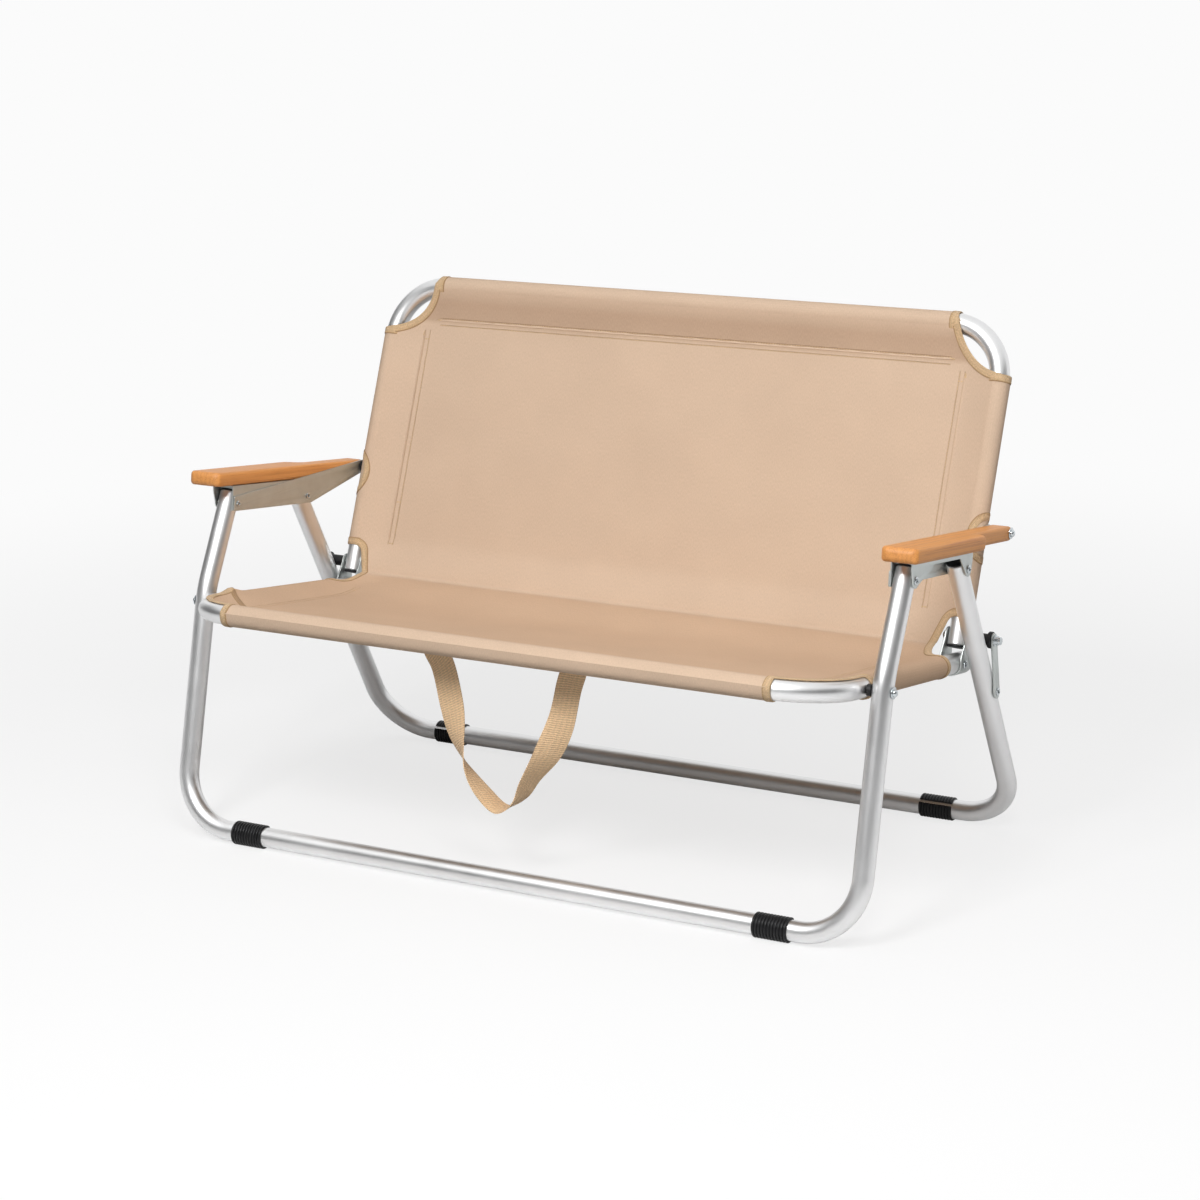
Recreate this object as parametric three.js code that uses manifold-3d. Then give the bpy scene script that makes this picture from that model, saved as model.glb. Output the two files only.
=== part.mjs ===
// Folding two-seat camping bench: bent aluminium tube frames, a fabric sling and wooden armrests.
// Millimetres, +X to the bench's right end as seen from the front, +Y to the rear, +Z up from the floor.
// The origin is on the floor, under the middle of the bench's box.
import * as THREE from "three";
import { mergeVertices } from "three/addons/utils/BufferGeometryUtils.js";
import Module from "manifold-3d";

const wasm = await Module();
wasm.setup();

// Clearance between pieces that touch or turn on each other
const CLEAR = 0.3;

// How far a cutting shape runs on past the faces that it cuts
const PAST = 1;

// Frame tubes
const TUBE_R = 14;
const TUBE_WALL = 1.6;
const BEND_R = 80;
const KINK_R = 150;
const LEG_X = 525;
const SIDE_X = 490;

// Front legs: floor bar, lower run, kink and upper run
const BAR_HEIGHT = 16;
const FRONT_LEAN_ANGLE = 14;
const UPPER_LEAN_ANGLE = 28;
const SEAT_PIVOT_LENGTH = 318;
const KINK_LENGTH = 334;
const UPPER_LEG_LENGTH = 130;
const FRONT_TOP = 15;

// Seat frame, from the front leg pivot
const SEAT_SLOPE_ANGLE = 8.7;
const SEAT_FRONT = 94;
const SEAT_REAR = 336;
const HINGE_REACH = 327.5;
const HINGE_RISE = 36;

// Back frame, from the hinge
const RECLINE_ANGLE = 22.1;
const BACK_TOP = 430;
const BACK_LOW = 13;
const BACK_PIVOT = 147;

// Rear legs and links: the legs pass the hinge spacers with a little room
const LEG_ROOM = 2.7;
const REAR_TOP = 12;
const LINK_PIVOT_LENGTH = 221;
const LINK_HALF_WIDTH = 10;
const LINK_THICK = 3;

// Armrests, from the front leg's upper pivot
const ARM_PIVOT_SPAN = 174;
const ARM_TAIL_RISE = 36.5;
const WOOD_UNDERSIDE = 25.5;
const WOOD_THICK = 20;
const WOOD_WIDTH = 51;
const WOOD_FRONT = 48;
const WOOD_REAR = 10;
const WOOD_STEP = 177;
const WOOD_STEP_LENGTH = 34;
const WOOD_STEP_DEPTH = 20;
const WOOD_CORNER_R = 9;
const WOOD_EDGE_R = 5;
const CHANNEL_WALL = 1.5;
const CHANNEL_FRONT = 15;
const CHANNEL_REAR = 12;
const EAR_R = 10;
const STRIP_DEPTH = 9;
const EAR_FRONT_ANGLE = 315;
const EAR_REAR_ANGLE = 216;
const BAR_WALL = 2;
const BAR_FRONT = 9;
const BAR_HALF_HEIGHT = 10.5;
const BAR_CORNER_R = 3;
const BAR_TAIL_R = 9;
const BAR_TAIL_LOW_ANGLE = -60;
const BAR_TAIL_HIGH_ANGLE = 97;
const SCREW_PLACES = [58, 124];

// Hinge brackets
const BRACKET_WALL = 2;
const BRACKET_FRONT = 302;
const BRACKET_REAR = 342;
const BRACKET_EAR_R = 12;
const BRACKET_RIVET = 316;

// Fasteners
const HINGE_BOLT_R = 4;
const PIVOT_BOLT_R = 3.5;
const RIVET_R = 3;
const HEAD_R = 6.5;
const HEAD_HEIGHT = 4;
const HEX_SIDES = 6;
const CAP_R = 5;
const CAP_HEIGHT = 3.5;
const SHANK_PAST_NUT = 1.5;
const RIVET_HEAD_HEIGHT = 1.6;
const NUT_R = 6.5;
const NUT_HEIGHT = 4;
const WASHER_R = 8;
const WASHER_WALL = 1.2;
const SPACER_R = 8;
const SPACER_RING_R = 11.5;
const SPACER_RING_LENGTH = 5;
const SPACER_CHAMFER = 1;
const SCREW_R = 2;
const SCREW_HEAD_R = 4;
const SCREW_HEAD_HEIGHT = 1.8;
const SCREW_LENGTH = 12;

// End plugs
const PLUG_CAP = 3;
const PLUG_STEM = 6;
const PLUG_CHAMFER = 1;

// Rubber feet
const FOOT_X = 408;
const FOOT_LENGTH = 50;
const FOOT_R = 16.8;
const FOOT_GROOVE = 1;
const FOOT_RIBS = 11;
const FOOT_SLIT = 5;
const FOOT_SLIT_ANGLE = 50;

// Fabric sling: sleeves, seams, cut-outs and sag
const FABRIC = 1.2;
const SHEET = 2;
const SEAM = 52;
const SLEEVE_END_X = 419;
const SEAT_SLEEVE_START = 12;
const SEAT_SLEEVE_END = 268;
const BACK_SLEEVE_LOW = 26;
const BACK_SLEEVE_HIGH = 360;
const CREASE_HALF_WIDTH = 464;
const CREASE_LOW = 16.4;
const CREASE_GAP = 2;
const HINGE_CUT_X = 476;
const BACK_CORNER_INSET = 6;
const NOTCH_LOW = 11;
const NOTCH_HALF_HEIGHT = 26;
const NOTCH_DEPTH = 16;
const SEAT_SAG = 9;
const BACK_SAG = 8;

// Carry strap under the front of the seat
const STRAP_WIDTH = 38;
const STRAP_THICK = 2;
const STRAP_BEHIND_SEAM = 3;
const STRAP_SEW_LENGTH = 26;
const STRAP_SAG_ROOM = 0.6;
const STRAP_LEFT_X = -116;
const STRAP_RIGHT_X = 101;
const STRAP_ROUTE = [
  [-104, 292],
  [-92, 240],
  [-84, 188],
  [-72, 155],
  [-45, 120],
  [-17, 101],
  [10, 117],
  [27, 146],
  [55, 187],
  [78, 234],
  [92, 287],
];
const STRAP_LEFT_TWIST = [0.16, 0.46];
const STRAP_RIGHT_TWIST = [0.5, 0.98];
const STRAP_STEPS = 28;

// Fineness of round forms
const TUBE_SIDES = 16;
const PIN_SIDES = 10;
const FOOT_SIDES = 14;
const BORE_SIDES = 10;
const BEND_STEP = 15;
const ARC_STEPS = 6;
const DOME_STEPS = 2;
const SLEEVE_STEPS = 9;
const SHEET_COLUMNS = 10;
const SHEET_ROWS = 7;
const WELD = 1e-4;

// Pivots in the side view, each as y from the front floor bar and z from the floor
const radians = THREE.MathUtils.degToRad;
const pivot = (y, z) => new THREE.Vector2(y, z);
const upward = (from, lean, length) =>
  pivot(from.x + length * Math.sin(radians(lean)), from.y + length * Math.cos(radians(lean)));
const rearward = (from, slope, length) =>
  pivot(from.x + length * Math.cos(radians(slope)), from.y - length * Math.sin(radians(slope)));
const frontBar = pivot(0, BAR_HEIGHT);
const seatPivot = upward(frontBar, FRONT_LEAN_ANGLE, SEAT_PIVOT_LENGTH);
const kink = upward(frontBar, FRONT_LEAN_ANGLE, KINK_LENGTH);
const armFrontPivot = upward(kink, UPPER_LEAN_ANGLE, UPPER_LEG_LENGTH);
const seatRear = rearward(seatPivot, SEAT_SLOPE_ANGLE, HINGE_REACH);
const hinge = upward(seatRear, SEAT_SLOPE_ANGLE, HINGE_RISE);
const armBackPivot = upward(hinge, RECLINE_ANGLE, BACK_PIVOT);
const armSpan = armBackPivot.clone().sub(armFrontPivot);
const ARM_TAIL = Math.sqrt(armSpan.lengthSq() - ARM_TAIL_RISE ** 2);
const armTurn = armSpan.angle() - Math.atan2(ARM_TAIL_RISE, ARM_TAIL);
const armRearPivot = pivot(ARM_PIVOT_SPAN, 0).rotateAround(pivot(0, 0), armTurn).add(armFrontPivot);
const toHinge = hinge.clone().sub(armRearPivot);
const passAngle = Math.asin((TUBE_R + SPACER_R + LEG_ROOM) / toHinge.length());
const rearTurn = Math.atan2(toHinge.x, -toHinge.y) - passAngle;
const rearDrop = armRearPivot.y - BAR_HEIGHT;
const rearBar = pivot(armRearPivot.x + rearDrop * Math.tan(rearTurn), BAR_HEIGHT);
const rearLeg = armRearPivot.clone().sub(rearBar);
const linkPivot = armRearPivot.clone().addScaledVector(rearLeg, -LINK_PIVOT_LENGTH / rearLeg.length());
const link = linkPivot.clone().sub(hinge);

// Sizes worked out from the driving ones
const SLEEVE_R = TUBE_R + CLEAR + FABRIC;
const SEAM_X = SIDE_X - SEAM;
const SLEEVE_OUT = SIDE_X + SLEEVE_R + PAST;
const crease = pivot(HINGE_REACH, HINGE_RISE).add(
  pivot(-SLEEVE_R, -CREASE_LOW).rotateAround(pivot(0, 0), radians(SEAT_SLOPE_ANGLE - RECLINE_ANGLE)),
);
const CREASE_REACH = crease.x - CREASE_GAP;
const CREASE_RISE = crease.y - CREASE_GAP / 2 - SLEEVE_R;
const tubeInside = SIDE_X - TUBE_R;
const tubeOutside = SIDE_X + TUBE_R;
const legInside = LEG_X - TUBE_R;
const legOutside = LEG_X + TUBE_R;
const channelInside = legInside - CLEAR - CHANNEL_WALL;
const channelOutside = legOutside + CLEAR + CHANNEL_WALL;
const barOutside = channelInside - CLEAR;
const barInside = barOutside - BAR_WALL;
const woodInside = channelInside;
const woodOutside = woodInside + WOOD_WIDTH;
const tailOutside = woodOutside - WOOD_STEP_DEPTH;
const webTop = WOOD_UNDERSIDE - CLEAR;
const webBottom = webTop - CHANNEL_WALL;
const bracketHalf = TUBE_R + CLEAR + BRACKET_WALL;
const linkInside = legOutside + CLEAR;
const linkOutside = linkInside + LINK_THICK;
const MID_Y =
  (rearward(seatPivot, SEAT_SLOPE_ANGLE, -SEAT_FRONT).x + upward(hinge, RECLINE_ANGLE, BACK_TOP).x) / 2;

// Materials
const metal = (color, roughness) => new THREE.MeshStandardMaterial({ color, roughness, metalness: 1 });
const matt = (color, roughness) => new THREE.MeshStandardMaterial({ color, roughness, metalness: 0 });
const aluminium = metal(0xc9cbcc, 0.32);
const zincSteel = metal(0xaab3b0, 0.4);
const brightSteel = metal(0xc2c8cc, 0.22);
const blackPlastic = matt(0x17171a, 0.5);
const rubber = matt(0x1b1b1d, 0.75);
const beech = matt(0xc98a4b, 0.5);
const fabric = matt(0xcdb193, 0.9);
const webbing = matt(0xbfa27a, 0.95);

// A closed geometry as a solid for cutting and joining
function solid(geometry) {
  const bare = geometry.clone();
  bare.deleteAttribute("normal");
  bare.deleteAttribute("uv");
  const merged = mergeVertices(bare, WELD);
  return new wasm.Manifold(
    new wasm.Mesh({
      numProp: 3,
      vertProperties: new Float32Array(merged.attributes.position.array),
      triVerts: new Uint32Array(merged.index.array),
    }),
  );
}

// A solid's surface as a geometry
function surface(body) {
  const mesh = body.getMesh();
  const geometry = new THREE.BufferGeometry();
  geometry.setAttribute("position", new THREE.BufferAttribute(new Float32Array(mesh.vertProperties), 3));
  geometry.setIndex(new THREE.BufferAttribute(new Uint32Array(mesh.triVerts), 1));
  geometry.computeVertexNormals();
  return geometry;
}

const join = (...bodies) => bodies.reduce((whole, body) => whole.add(body));
const cut = (body, ...tools) => tools.reduce((rest, tool) => rest.subtract(tool), body);

// The same solid on the other side of the bench
function mirrored(body) {
  const geometry = surface(body).scale(-1, 1, 1);
  const index = geometry.index.array;
  for (let i = 0; i < index.length; i += 3) {
    [index[i + 1], index[i + 2]] = [index[i + 2], index[i + 1]];
  }
  return solid(geometry);
}
const bothSides = (body) => join(body, mirrored(body));

// Rings of points joined into a closed rod with flat ends
function rodOfRings(rings) {
  const sides = rings[0].length;
  const positions = rings.flat().flatMap((p) => p.toArray());
  const index = [];
  for (let r = 0; r < rings.length - 1; r++) {
    for (let k = 0; k < sides; k++) {
      const a = r * sides + k;
      const b = r * sides + ((k + 1) % sides);
      index.push(a, b, b + sides, a, b + sides, a + sides);
    }
  }
  const last = (rings.length - 1) * sides;
  for (let k = 1; k < sides - 1; k++) {
    index.push(0, k + 1, k);
    index.push(last, last + k, last + k + 1);
  }
  const geometry = new THREE.BufferGeometry();
  geometry.setAttribute("position", new THREE.Float32BufferAttribute(positions, 3));
  geometry.setIndex(index);
  return geometry;
}

// Straight runs through the given corners, with an arc of the given radius at each
function bentPath(corners, radii) {
  const path = [corners[0].clone()];
  radii.forEach((radius, i) => {
    const corner = corners[i + 1];
    const into = corner.clone().sub(corners[i]).normalize();
    const out = corners[i + 2].clone().sub(corner).normalize();
    const turn = into.angleTo(out);
    const start = corner.clone().addScaledVector(into, -radius * Math.tan(turn / 2));
    const inward = out.clone().addScaledVector(into, -out.dot(into)).normalize();
    const centre = start.clone().addScaledVector(inward, radius);
    const steps = Math.ceil(turn / radians(BEND_STEP));
    for (let k = 0; k <= steps; k++) {
      const angle = (turn * k) / steps;
      const point = centre.clone().addScaledVector(inward, -radius * Math.cos(angle));
      path.push(point.addScaledVector(into, radius * Math.sin(angle)));
    }
  });
  path.push(corners.at(-1).clone());
  return path;
}

// A round rod along a path, run on past both ends by a given length
function rod(path, radius, past = 0, sides = TUBE_SIDES) {
  const heading = (i) => path[i + 1].clone().sub(path[i]).normalize();
  const end = path.length - 1;
  const turn = new THREE.Quaternion();
  const tangents = path.map((_, i) => {
    const before = heading(Math.max(i - 1, 0));
    return before.add(heading(Math.min(i, end - 1))).normalize();
  });
  const side = new THREE.Vector3(1, 1, 1).cross(tangents[0]).normalize();
  const rings = path.map((point, i) => {
    if (i > 0) {
      turn.setFromUnitVectors(tangents[i - 1], tangents[i]);
      side.applyQuaternion(turn);
    }
    const across = tangents[i].clone().cross(side);
    const centre = point.clone();
    if (i === 0) centre.addScaledVector(tangents[i], -past);
    if (i === end) centre.addScaledVector(tangents[i], past);
    return Array.from({ length: sides }, (_, k) => {
      const angle = (2 * Math.PI * k) / sides;
      const corner = centre.clone().addScaledVector(side, radius * Math.cos(angle));
      return corner.addScaledVector(across, radius * Math.sin(angle));
    });
  });
  return solid(rodOfRings(rings));
}
const tube = (path) => cut(rod(path, TUBE_R), rod(path, TUBE_R - TUBE_WALL, PAST, BORE_SIDES));
const tubeRoom = (path) => rod(path, TUBE_R + CLEAR, PAST);

// A turned piece on an axis along X: its profile is radius and x, from one end of the axis to the other
function turned(profile, y, z, sides = PIN_SIDES) {
  const points = profile.map(([radius, x]) => new THREE.Vector2(radius, x));
  const geometry = new THREE.LatheGeometry(points, sides);
  return solid(geometry.rotateZ(-Math.PI / 2).translate(0, y, z));
}
const pin = (radius, x0, x1, y, z, sides) =>
  turned([[0, x0], [radius, x0], [radius, x1], [0, x1]], y, z, sides);
const sleeve = (bore, radius, x0, x1, y, z) =>
  turned([[bore, x0], [radius, x0], [radius, x1], [bore, x1], [bore, x0]], y, z);

// Quarter-round dome for a head that sits on the plane x = base and swells to the outside
function dome(radius, height, base) {
  return Array.from({ length: DOME_STEPS + 1 }, (_, k) => {
    const angle = (Math.PI / 2) * (k / DOME_STEPS);
    const reach = k === DOME_STEPS ? 0 : radius * Math.cos(angle);
    return [reach, base + height * Math.sin(angle)];
  });
}

// A plate or bar cut from an outline: seen from the side, from the front and from above
const EXTRUDE = { bevelEnabled: false, curveSegments: ARC_STEPS };
const axis = (x, y, z) => new THREE.Vector3(x, y, z);
const SIDE_VIEW = new THREE.Matrix4().makeBasis(axis(0, 1, 0), axis(0, 0, 1), axis(1, 0, 0));
const FRONT_VIEW = new THREE.Matrix4().makeBasis(axis(1, 0, 0), axis(0, 0, 1), axis(0, -1, 0));
function plateX(shape, x0, x1) {
  const geometry = new THREE.ExtrudeGeometry(shape, { ...EXTRUDE, depth: x1 - x0 });
  return solid(geometry.applyMatrix4(SIDE_VIEW).translate(x0, 0, 0));
}
function barY(shape, y0, y1) {
  const geometry = new THREE.ExtrudeGeometry(shape, { ...EXTRUDE, depth: y1 - y0 });
  return solid(geometry.applyMatrix4(FRONT_VIEW).translate(0, y1, 0));
}
function slabZ(shape, z0, z1) {
  const geometry = new THREE.ExtrudeGeometry(shape, { ...EXTRUDE, depth: z1 - z0 });
  return solid(geometry.translate(0, 0, z0));
}
const outline = (points) => new THREE.Shape(points.map(([x, y]) => new THREE.Vector2(x, y)));
const rectangle = (x0, y0, x1, y1) => outline([[x0, y0], [x1, y0], [x1, y1], [x0, y1]]);

// Groups: one for each body that moves as one piece
const bench = new THREE.Group();
bench.position.y = -MID_Y;
function bodyGroup(place, turn) {
  const group = new THREE.Group();
  group.position.set(0, place.x, place.y);
  group.rotation.x = turn;
  bench.add(group);
  return group;
}
const seat = bodyGroup(seatPivot, -radians(SEAT_SLOPE_ANGLE));
const back = bodyGroup(hinge, -radians(RECLINE_ANGLE));
const frontLegs = bodyGroup(frontBar, 0);
const rearLegs = bodyGroup(rearBar, rearLeg.angle() - Math.PI / 2);
const armrests = bodyGroup(armFrontPivot, armTurn);
const links = bodyGroup(hinge, Math.atan2(link.x, -link.y));

function add(group, name, body, material) {
  const mesh = new THREE.Mesh(surface(body), material);
  mesh.name = name;
  group.add(mesh);
  return mesh;
}
function addPair(group, name, body, material) {
  add(group, `${name}_right`, body, material);
  add(group, `${name}_left`, body, material).scale.x = -1;
}

// A tube's end plug: a cap on the end at z = 0 and a stem down into the bore
function plug() {
  const stem = (TUBE_R - TUBE_WALL) * Math.cos(Math.PI / BORE_SIDES) - CLEAR;
  const profile = [[0, -PLUG_STEM], [stem, -PLUG_STEM], [stem, CLEAR], [TUBE_R, CLEAR]];
  profile.push([TUBE_R, PLUG_CAP - PLUG_CHAMFER], [TUBE_R - PLUG_CHAMFER, PLUG_CAP], [0, PLUG_CAP]);
  const points = profile.map(([radius, z]) => new THREE.Vector2(radius, z));
  return new THREE.LatheGeometry(points, TUBE_SIDES).rotateX(Math.PI / 2);
}
function addPlugs(group, name, x, y, z, turn) {
  const geometry = plug().rotateX(turn).translate(x, y, z);
  addPair(group, name, solid(geometry), blackPlastic);
}

// U-shaped frames: corners listed from the right end round to the left end
const leftOf = (points) => points.map((p) => axis(-p.x, p.y, p.z)).reverse();

// Seat frame: side tubes, front bar, pivot and rivet holes
const seatCorners = [axis(SIDE_X, SEAT_REAR, 0), axis(SIDE_X, -SEAT_FRONT, 0)];
const seatPath = bentPath([...seatCorners, ...leftOf(seatCorners)], [BEND_R, BEND_R]);
const sideHole = (radius, y, z) =>
  bothSides(pin(radius + CLEAR, tubeInside - PAST, tubeOutside + PAST, y, z));
const seatTube = cut(
  tube(seatPath),
  sideHole(PIVOT_BOLT_R, 0, 0),
  sideHole(RIVET_R, BRACKET_RIVET, 0),
);
add(seat, "seat_frame", seatTube, aluminium);
addPlugs(seat, "seat_end_plug", SIDE_X, SEAT_REAR, 0, -Math.PI / 2);

// Hinge brackets: a strip folded under the seat tube, with two ears up to the hinge bolt
function hingeBracket() {
  const inner = bracketHalf - BRACKET_WALL;
  const top = HINGE_RISE + BRACKET_EAR_R;
  const section = new THREE.Shape();
  section.moveTo(SIDE_X + bracketHalf, top);
  section.lineTo(SIDE_X + inner, top);
  section.lineTo(SIDE_X + inner, 0);
  section.absarc(SIDE_X, 0, inner, 0, Math.PI, true);
  section.lineTo(SIDE_X - inner, top);
  section.lineTo(SIDE_X - bracketHalf, top);
  section.lineTo(SIDE_X - bracketHalf, 0);
  section.absarc(SIDE_X, 0, bracketHalf, Math.PI, 2 * Math.PI, false);
  const strip = barY(section, BRACKET_FRONT, BRACKET_REAR);
  const side = new THREE.Shape();
  side.moveTo(BRACKET_FRONT - PAST, -bracketHalf - PAST);
  side.lineTo(BRACKET_REAR + PAST, -bracketHalf - PAST);
  side.lineTo(BRACKET_REAR + PAST, TUBE_R / 2);
  side.lineTo(HINGE_REACH + BRACKET_EAR_R, HINGE_RISE - BRACKET_EAR_R / 2);
  side.absarc(HINGE_REACH, HINGE_RISE, BRACKET_EAR_R, 0, Math.PI, false);
  side.lineTo(BRACKET_FRONT - PAST, TUBE_R / 2);
  const through = [SIDE_X - bracketHalf - PAST, SIDE_X + bracketHalf + PAST];
  const trimmed = strip.intersect(plateX(side, ...through));
  return cut(
    trimmed,
    pin(HINGE_BOLT_R + CLEAR, ...through, HINGE_REACH, HINGE_RISE),
    pin(RIVET_R + CLEAR, ...through, BRACKET_RIVET, 0),
  );
}
addPair(seat, "hinge_bracket", hingeBracket(), zincSteel);

// A rivet through everything between two outer faces, with a low head at each end
function rivet(radius, x0, x1, y, z) {
  const head = dome(2 * radius, RIVET_HEAD_HEIGHT, x1 + CLEAR);
  const tail = head.map(([r, x]) => [r, x0 + x1 - x]).reverse();
  return turned([...tail, [radius, x0 - CLEAR], [radius, x1 + CLEAR], ...head], y, z);
}
addPair(
  seat,
  "bracket_rivet",
  rivet(RIVET_R, SIDE_X - bracketHalf, SIDE_X + bracketHalf, BRACKET_RIVET, 0),
  brightSteel,
);

// Hinge bolts: shank, washer and hexagon head outside the link, nut inside the bracket
const hingeInside = SIDE_X - bracketHalf - CLEAR;
const hingeOutside = linkOutside + CLEAR;
const hingeHeadEnd = hingeOutside + WASHER_WALL + HEAD_HEIGHT;
const hingeAt = [HINGE_REACH, HINGE_RISE];
const hingeBolt = join(
  pin(HINGE_BOLT_R, hingeInside - NUT_HEIGHT - SHANK_PAST_NUT, hingeOutside + PAST, ...hingeAt),
  pin(WASHER_R, hingeOutside, hingeOutside + WASHER_WALL, ...hingeAt),
  pin(HEAD_R, hingeOutside + WASHER_WALL / 2, hingeHeadEnd, ...hingeAt, HEX_SIDES),
);
addPair(seat, "hinge_bolt", hingeBolt, brightSteel);
const hingeNut = cut(
  pin(NUT_R, hingeInside - NUT_HEIGHT, hingeInside, ...hingeAt, HEX_SIDES),
  pin(HINGE_BOLT_R + CLEAR, hingeInside - NUT_HEIGHT - PAST, hingeInside + PAST, ...hingeAt),
);
addPair(seat, "hinge_nut", hingeNut, brightSteel);

// Hinge spacers: a tube past the rear leg with a wide ring against the link
const spacerStart = SIDE_X + bracketHalf + CLEAR;
const spacerEnd = linkInside - CLEAR;
const hingeBore = HINGE_BOLT_R + CLEAR;
const hingeSpacer = turned(
  [
    [hingeBore, spacerStart],
    [SPACER_R, spacerStart],
    [SPACER_R, spacerEnd - SPACER_RING_LENGTH - SPACER_CHAMFER],
    [SPACER_RING_R, spacerEnd - SPACER_RING_LENGTH],
    [SPACER_RING_R, spacerEnd],
    [hingeBore, spacerEnd],
    [hingeBore, spacerStart],
  ],
  ...hingeAt,
);
addPair(seat, "hinge_spacer", hingeSpacer, blackPlastic);

// Back frame: side tubes, top bar and hinge holes
const backCorners = [axis(SIDE_X, 0, -BACK_LOW), axis(SIDE_X, 0, BACK_TOP)];
const backPath = bentPath([...backCorners, ...leftOf(backCorners)], [BEND_R, BEND_R]);
add(back, "back_frame", cut(tube(backPath), sideHole(HINGE_BOLT_R, 0, 0)), aluminium);
addPlugs(back, "back_end_plug", SIDE_X, 0, -BACK_LOW, Math.PI);

// Front leg frame: legs with a kink above the seat pivot, joined by the floor bar
const inLegs = (p) => [p.x - frontBar.x, p.y - frontBar.y];
const frontTop = upward(armFrontPivot, UPPER_LEAN_ANGLE, FRONT_TOP);
const frontCorners = [
  axis(LEG_X, ...inLegs(frontTop)),
  axis(LEG_X, ...inLegs(kink)),
  axis(LEG_X, ...inLegs(frontBar)),
];
const frontPath = bentPath(
  [...frontCorners, ...leftOf(frontCorners)],
  [KINK_R, BEND_R, BEND_R, KINK_R],
);
const legHole = (radius, y, z) =>
  bothSides(pin(radius + CLEAR, legInside - PAST, legOutside + PAST, y, z));
const frontTube = cut(
  tube(frontPath),
  legHole(PIVOT_BOLT_R, ...inLegs(seatPivot)),
  legHole(RIVET_R, ...inLegs(armFrontPivot)),
);
add(frontLegs, "front_leg_frame", frontTube, aluminium);
addPlugs(frontLegs, "front_leg_plug", LEG_X, ...inLegs(frontTop), -radians(UPPER_LEAN_ANGLE));

// A pivot bolt's outer end: a washer on the plane x = base, and a domed cap nut
function capNut(base) {
  const seatAt = base + WASHER_WALL;
  const cap = dome(CAP_R, CAP_HEIGHT, seatAt + WASHER_WALL);
  return [[WASHER_R, base], [WASHER_R, seatAt], [CAP_R, seatAt], ...cap];
}

// Front pivots: cap-nut bolt, spacer between leg and seat tube, nut inside the seat tube
const pivotAt = inLegs(seatPivot);
const nutFace = tubeInside - CLEAR;
const pivotBolt = turned(
  [
    [0, nutFace - NUT_HEIGHT - SHANK_PAST_NUT],
    [PIVOT_BOLT_R, nutFace - NUT_HEIGHT - SHANK_PAST_NUT],
    [PIVOT_BOLT_R, legOutside + CLEAR],
    ...capNut(legOutside + CLEAR),
  ],
  ...pivotAt,
);
addPair(frontLegs, "front_pivot_bolt", pivotBolt, brightSteel);
const pivotBore = PIVOT_BOLT_R + CLEAR;
const pivotSpacer = sleeve(pivotBore, SPACER_R, tubeOutside + CLEAR, legInside - CLEAR, ...pivotAt);
addPair(frontLegs, "front_pivot_spacer", pivotSpacer, blackPlastic);
const pivotNut = cut(
  pin(NUT_R, nutFace - NUT_HEIGHT, nutFace, ...pivotAt, HEX_SIDES),
  pin(pivotBore, nutFace - NUT_HEIGHT - PAST, nutFace + PAST, ...pivotAt),
);
addPair(frontLegs, "front_pivot_nut", pivotNut, brightSteel);

// Rear leg frame: straight legs and the rear floor bar
const rearLength = rearLeg.length();
const rearCorners = [axis(LEG_X, 0, rearLength + REAR_TOP), axis(LEG_X, 0, 0)];
const rearPath = bentPath([...rearCorners, ...leftOf(rearCorners)], [BEND_R, BEND_R]);
add(rearLegs, "rear_leg_frame", cut(tube(rearPath), legHole(RIVET_R, 0, rearLength)), aluminium);
addPlugs(rearLegs, "rear_leg_plug", LEG_X, 0, rearLength + REAR_TOP, 0);

// Rubber feet: ribbed clips round the floor bars, slit on the side that faces into the bench
function foot(slitTurn) {
  const bore = (TUBE_R + CLEAR) / Math.cos(Math.PI / FOOT_SIDES);
  const start = FOOT_X - FOOT_LENGTH / 2;
  const pitch = FOOT_LENGTH / FOOT_RIBS;
  const profile = [[bore, start]];
  for (let k = 0; k < FOOT_RIBS; k++) {
    profile.push([FOOT_R - FOOT_GROOVE, start + k * pitch]);
    profile.push([FOOT_R, start + (k + 0.5) * pitch]);
  }
  profile.push([FOOT_R - FOOT_GROOVE, start + FOOT_LENGTH]);
  profile.push([bore, start + FOOT_LENGTH], [bore, start]);
  const slit = new THREE.BoxGeometry(FOOT_LENGTH + 2 * PAST, FOOT_SLIT, 2 * FOOT_R);
  slit.translate(FOOT_X, 0, FOOT_R).rotateX(slitTurn);
  const floor = new THREE.BoxGeometry(FOOT_LENGTH + 2 * PAST, 2 * FOOT_R, FOOT_R);
  floor.translate(FOOT_X, 0, -BAR_HEIGHT - FOOT_R / 2);
  return cut(turned(profile, 0, 0, FOOT_SIDES), solid(slit), solid(floor));
}
addPair(frontLegs, "front_foot", foot(-radians(FOOT_SLIT_ANGLE)), rubber);
addPair(bodyGroup(rearBar, 0), "rear_foot", foot(radians(FOOT_SLIT_ANGLE)), rubber);

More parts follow.
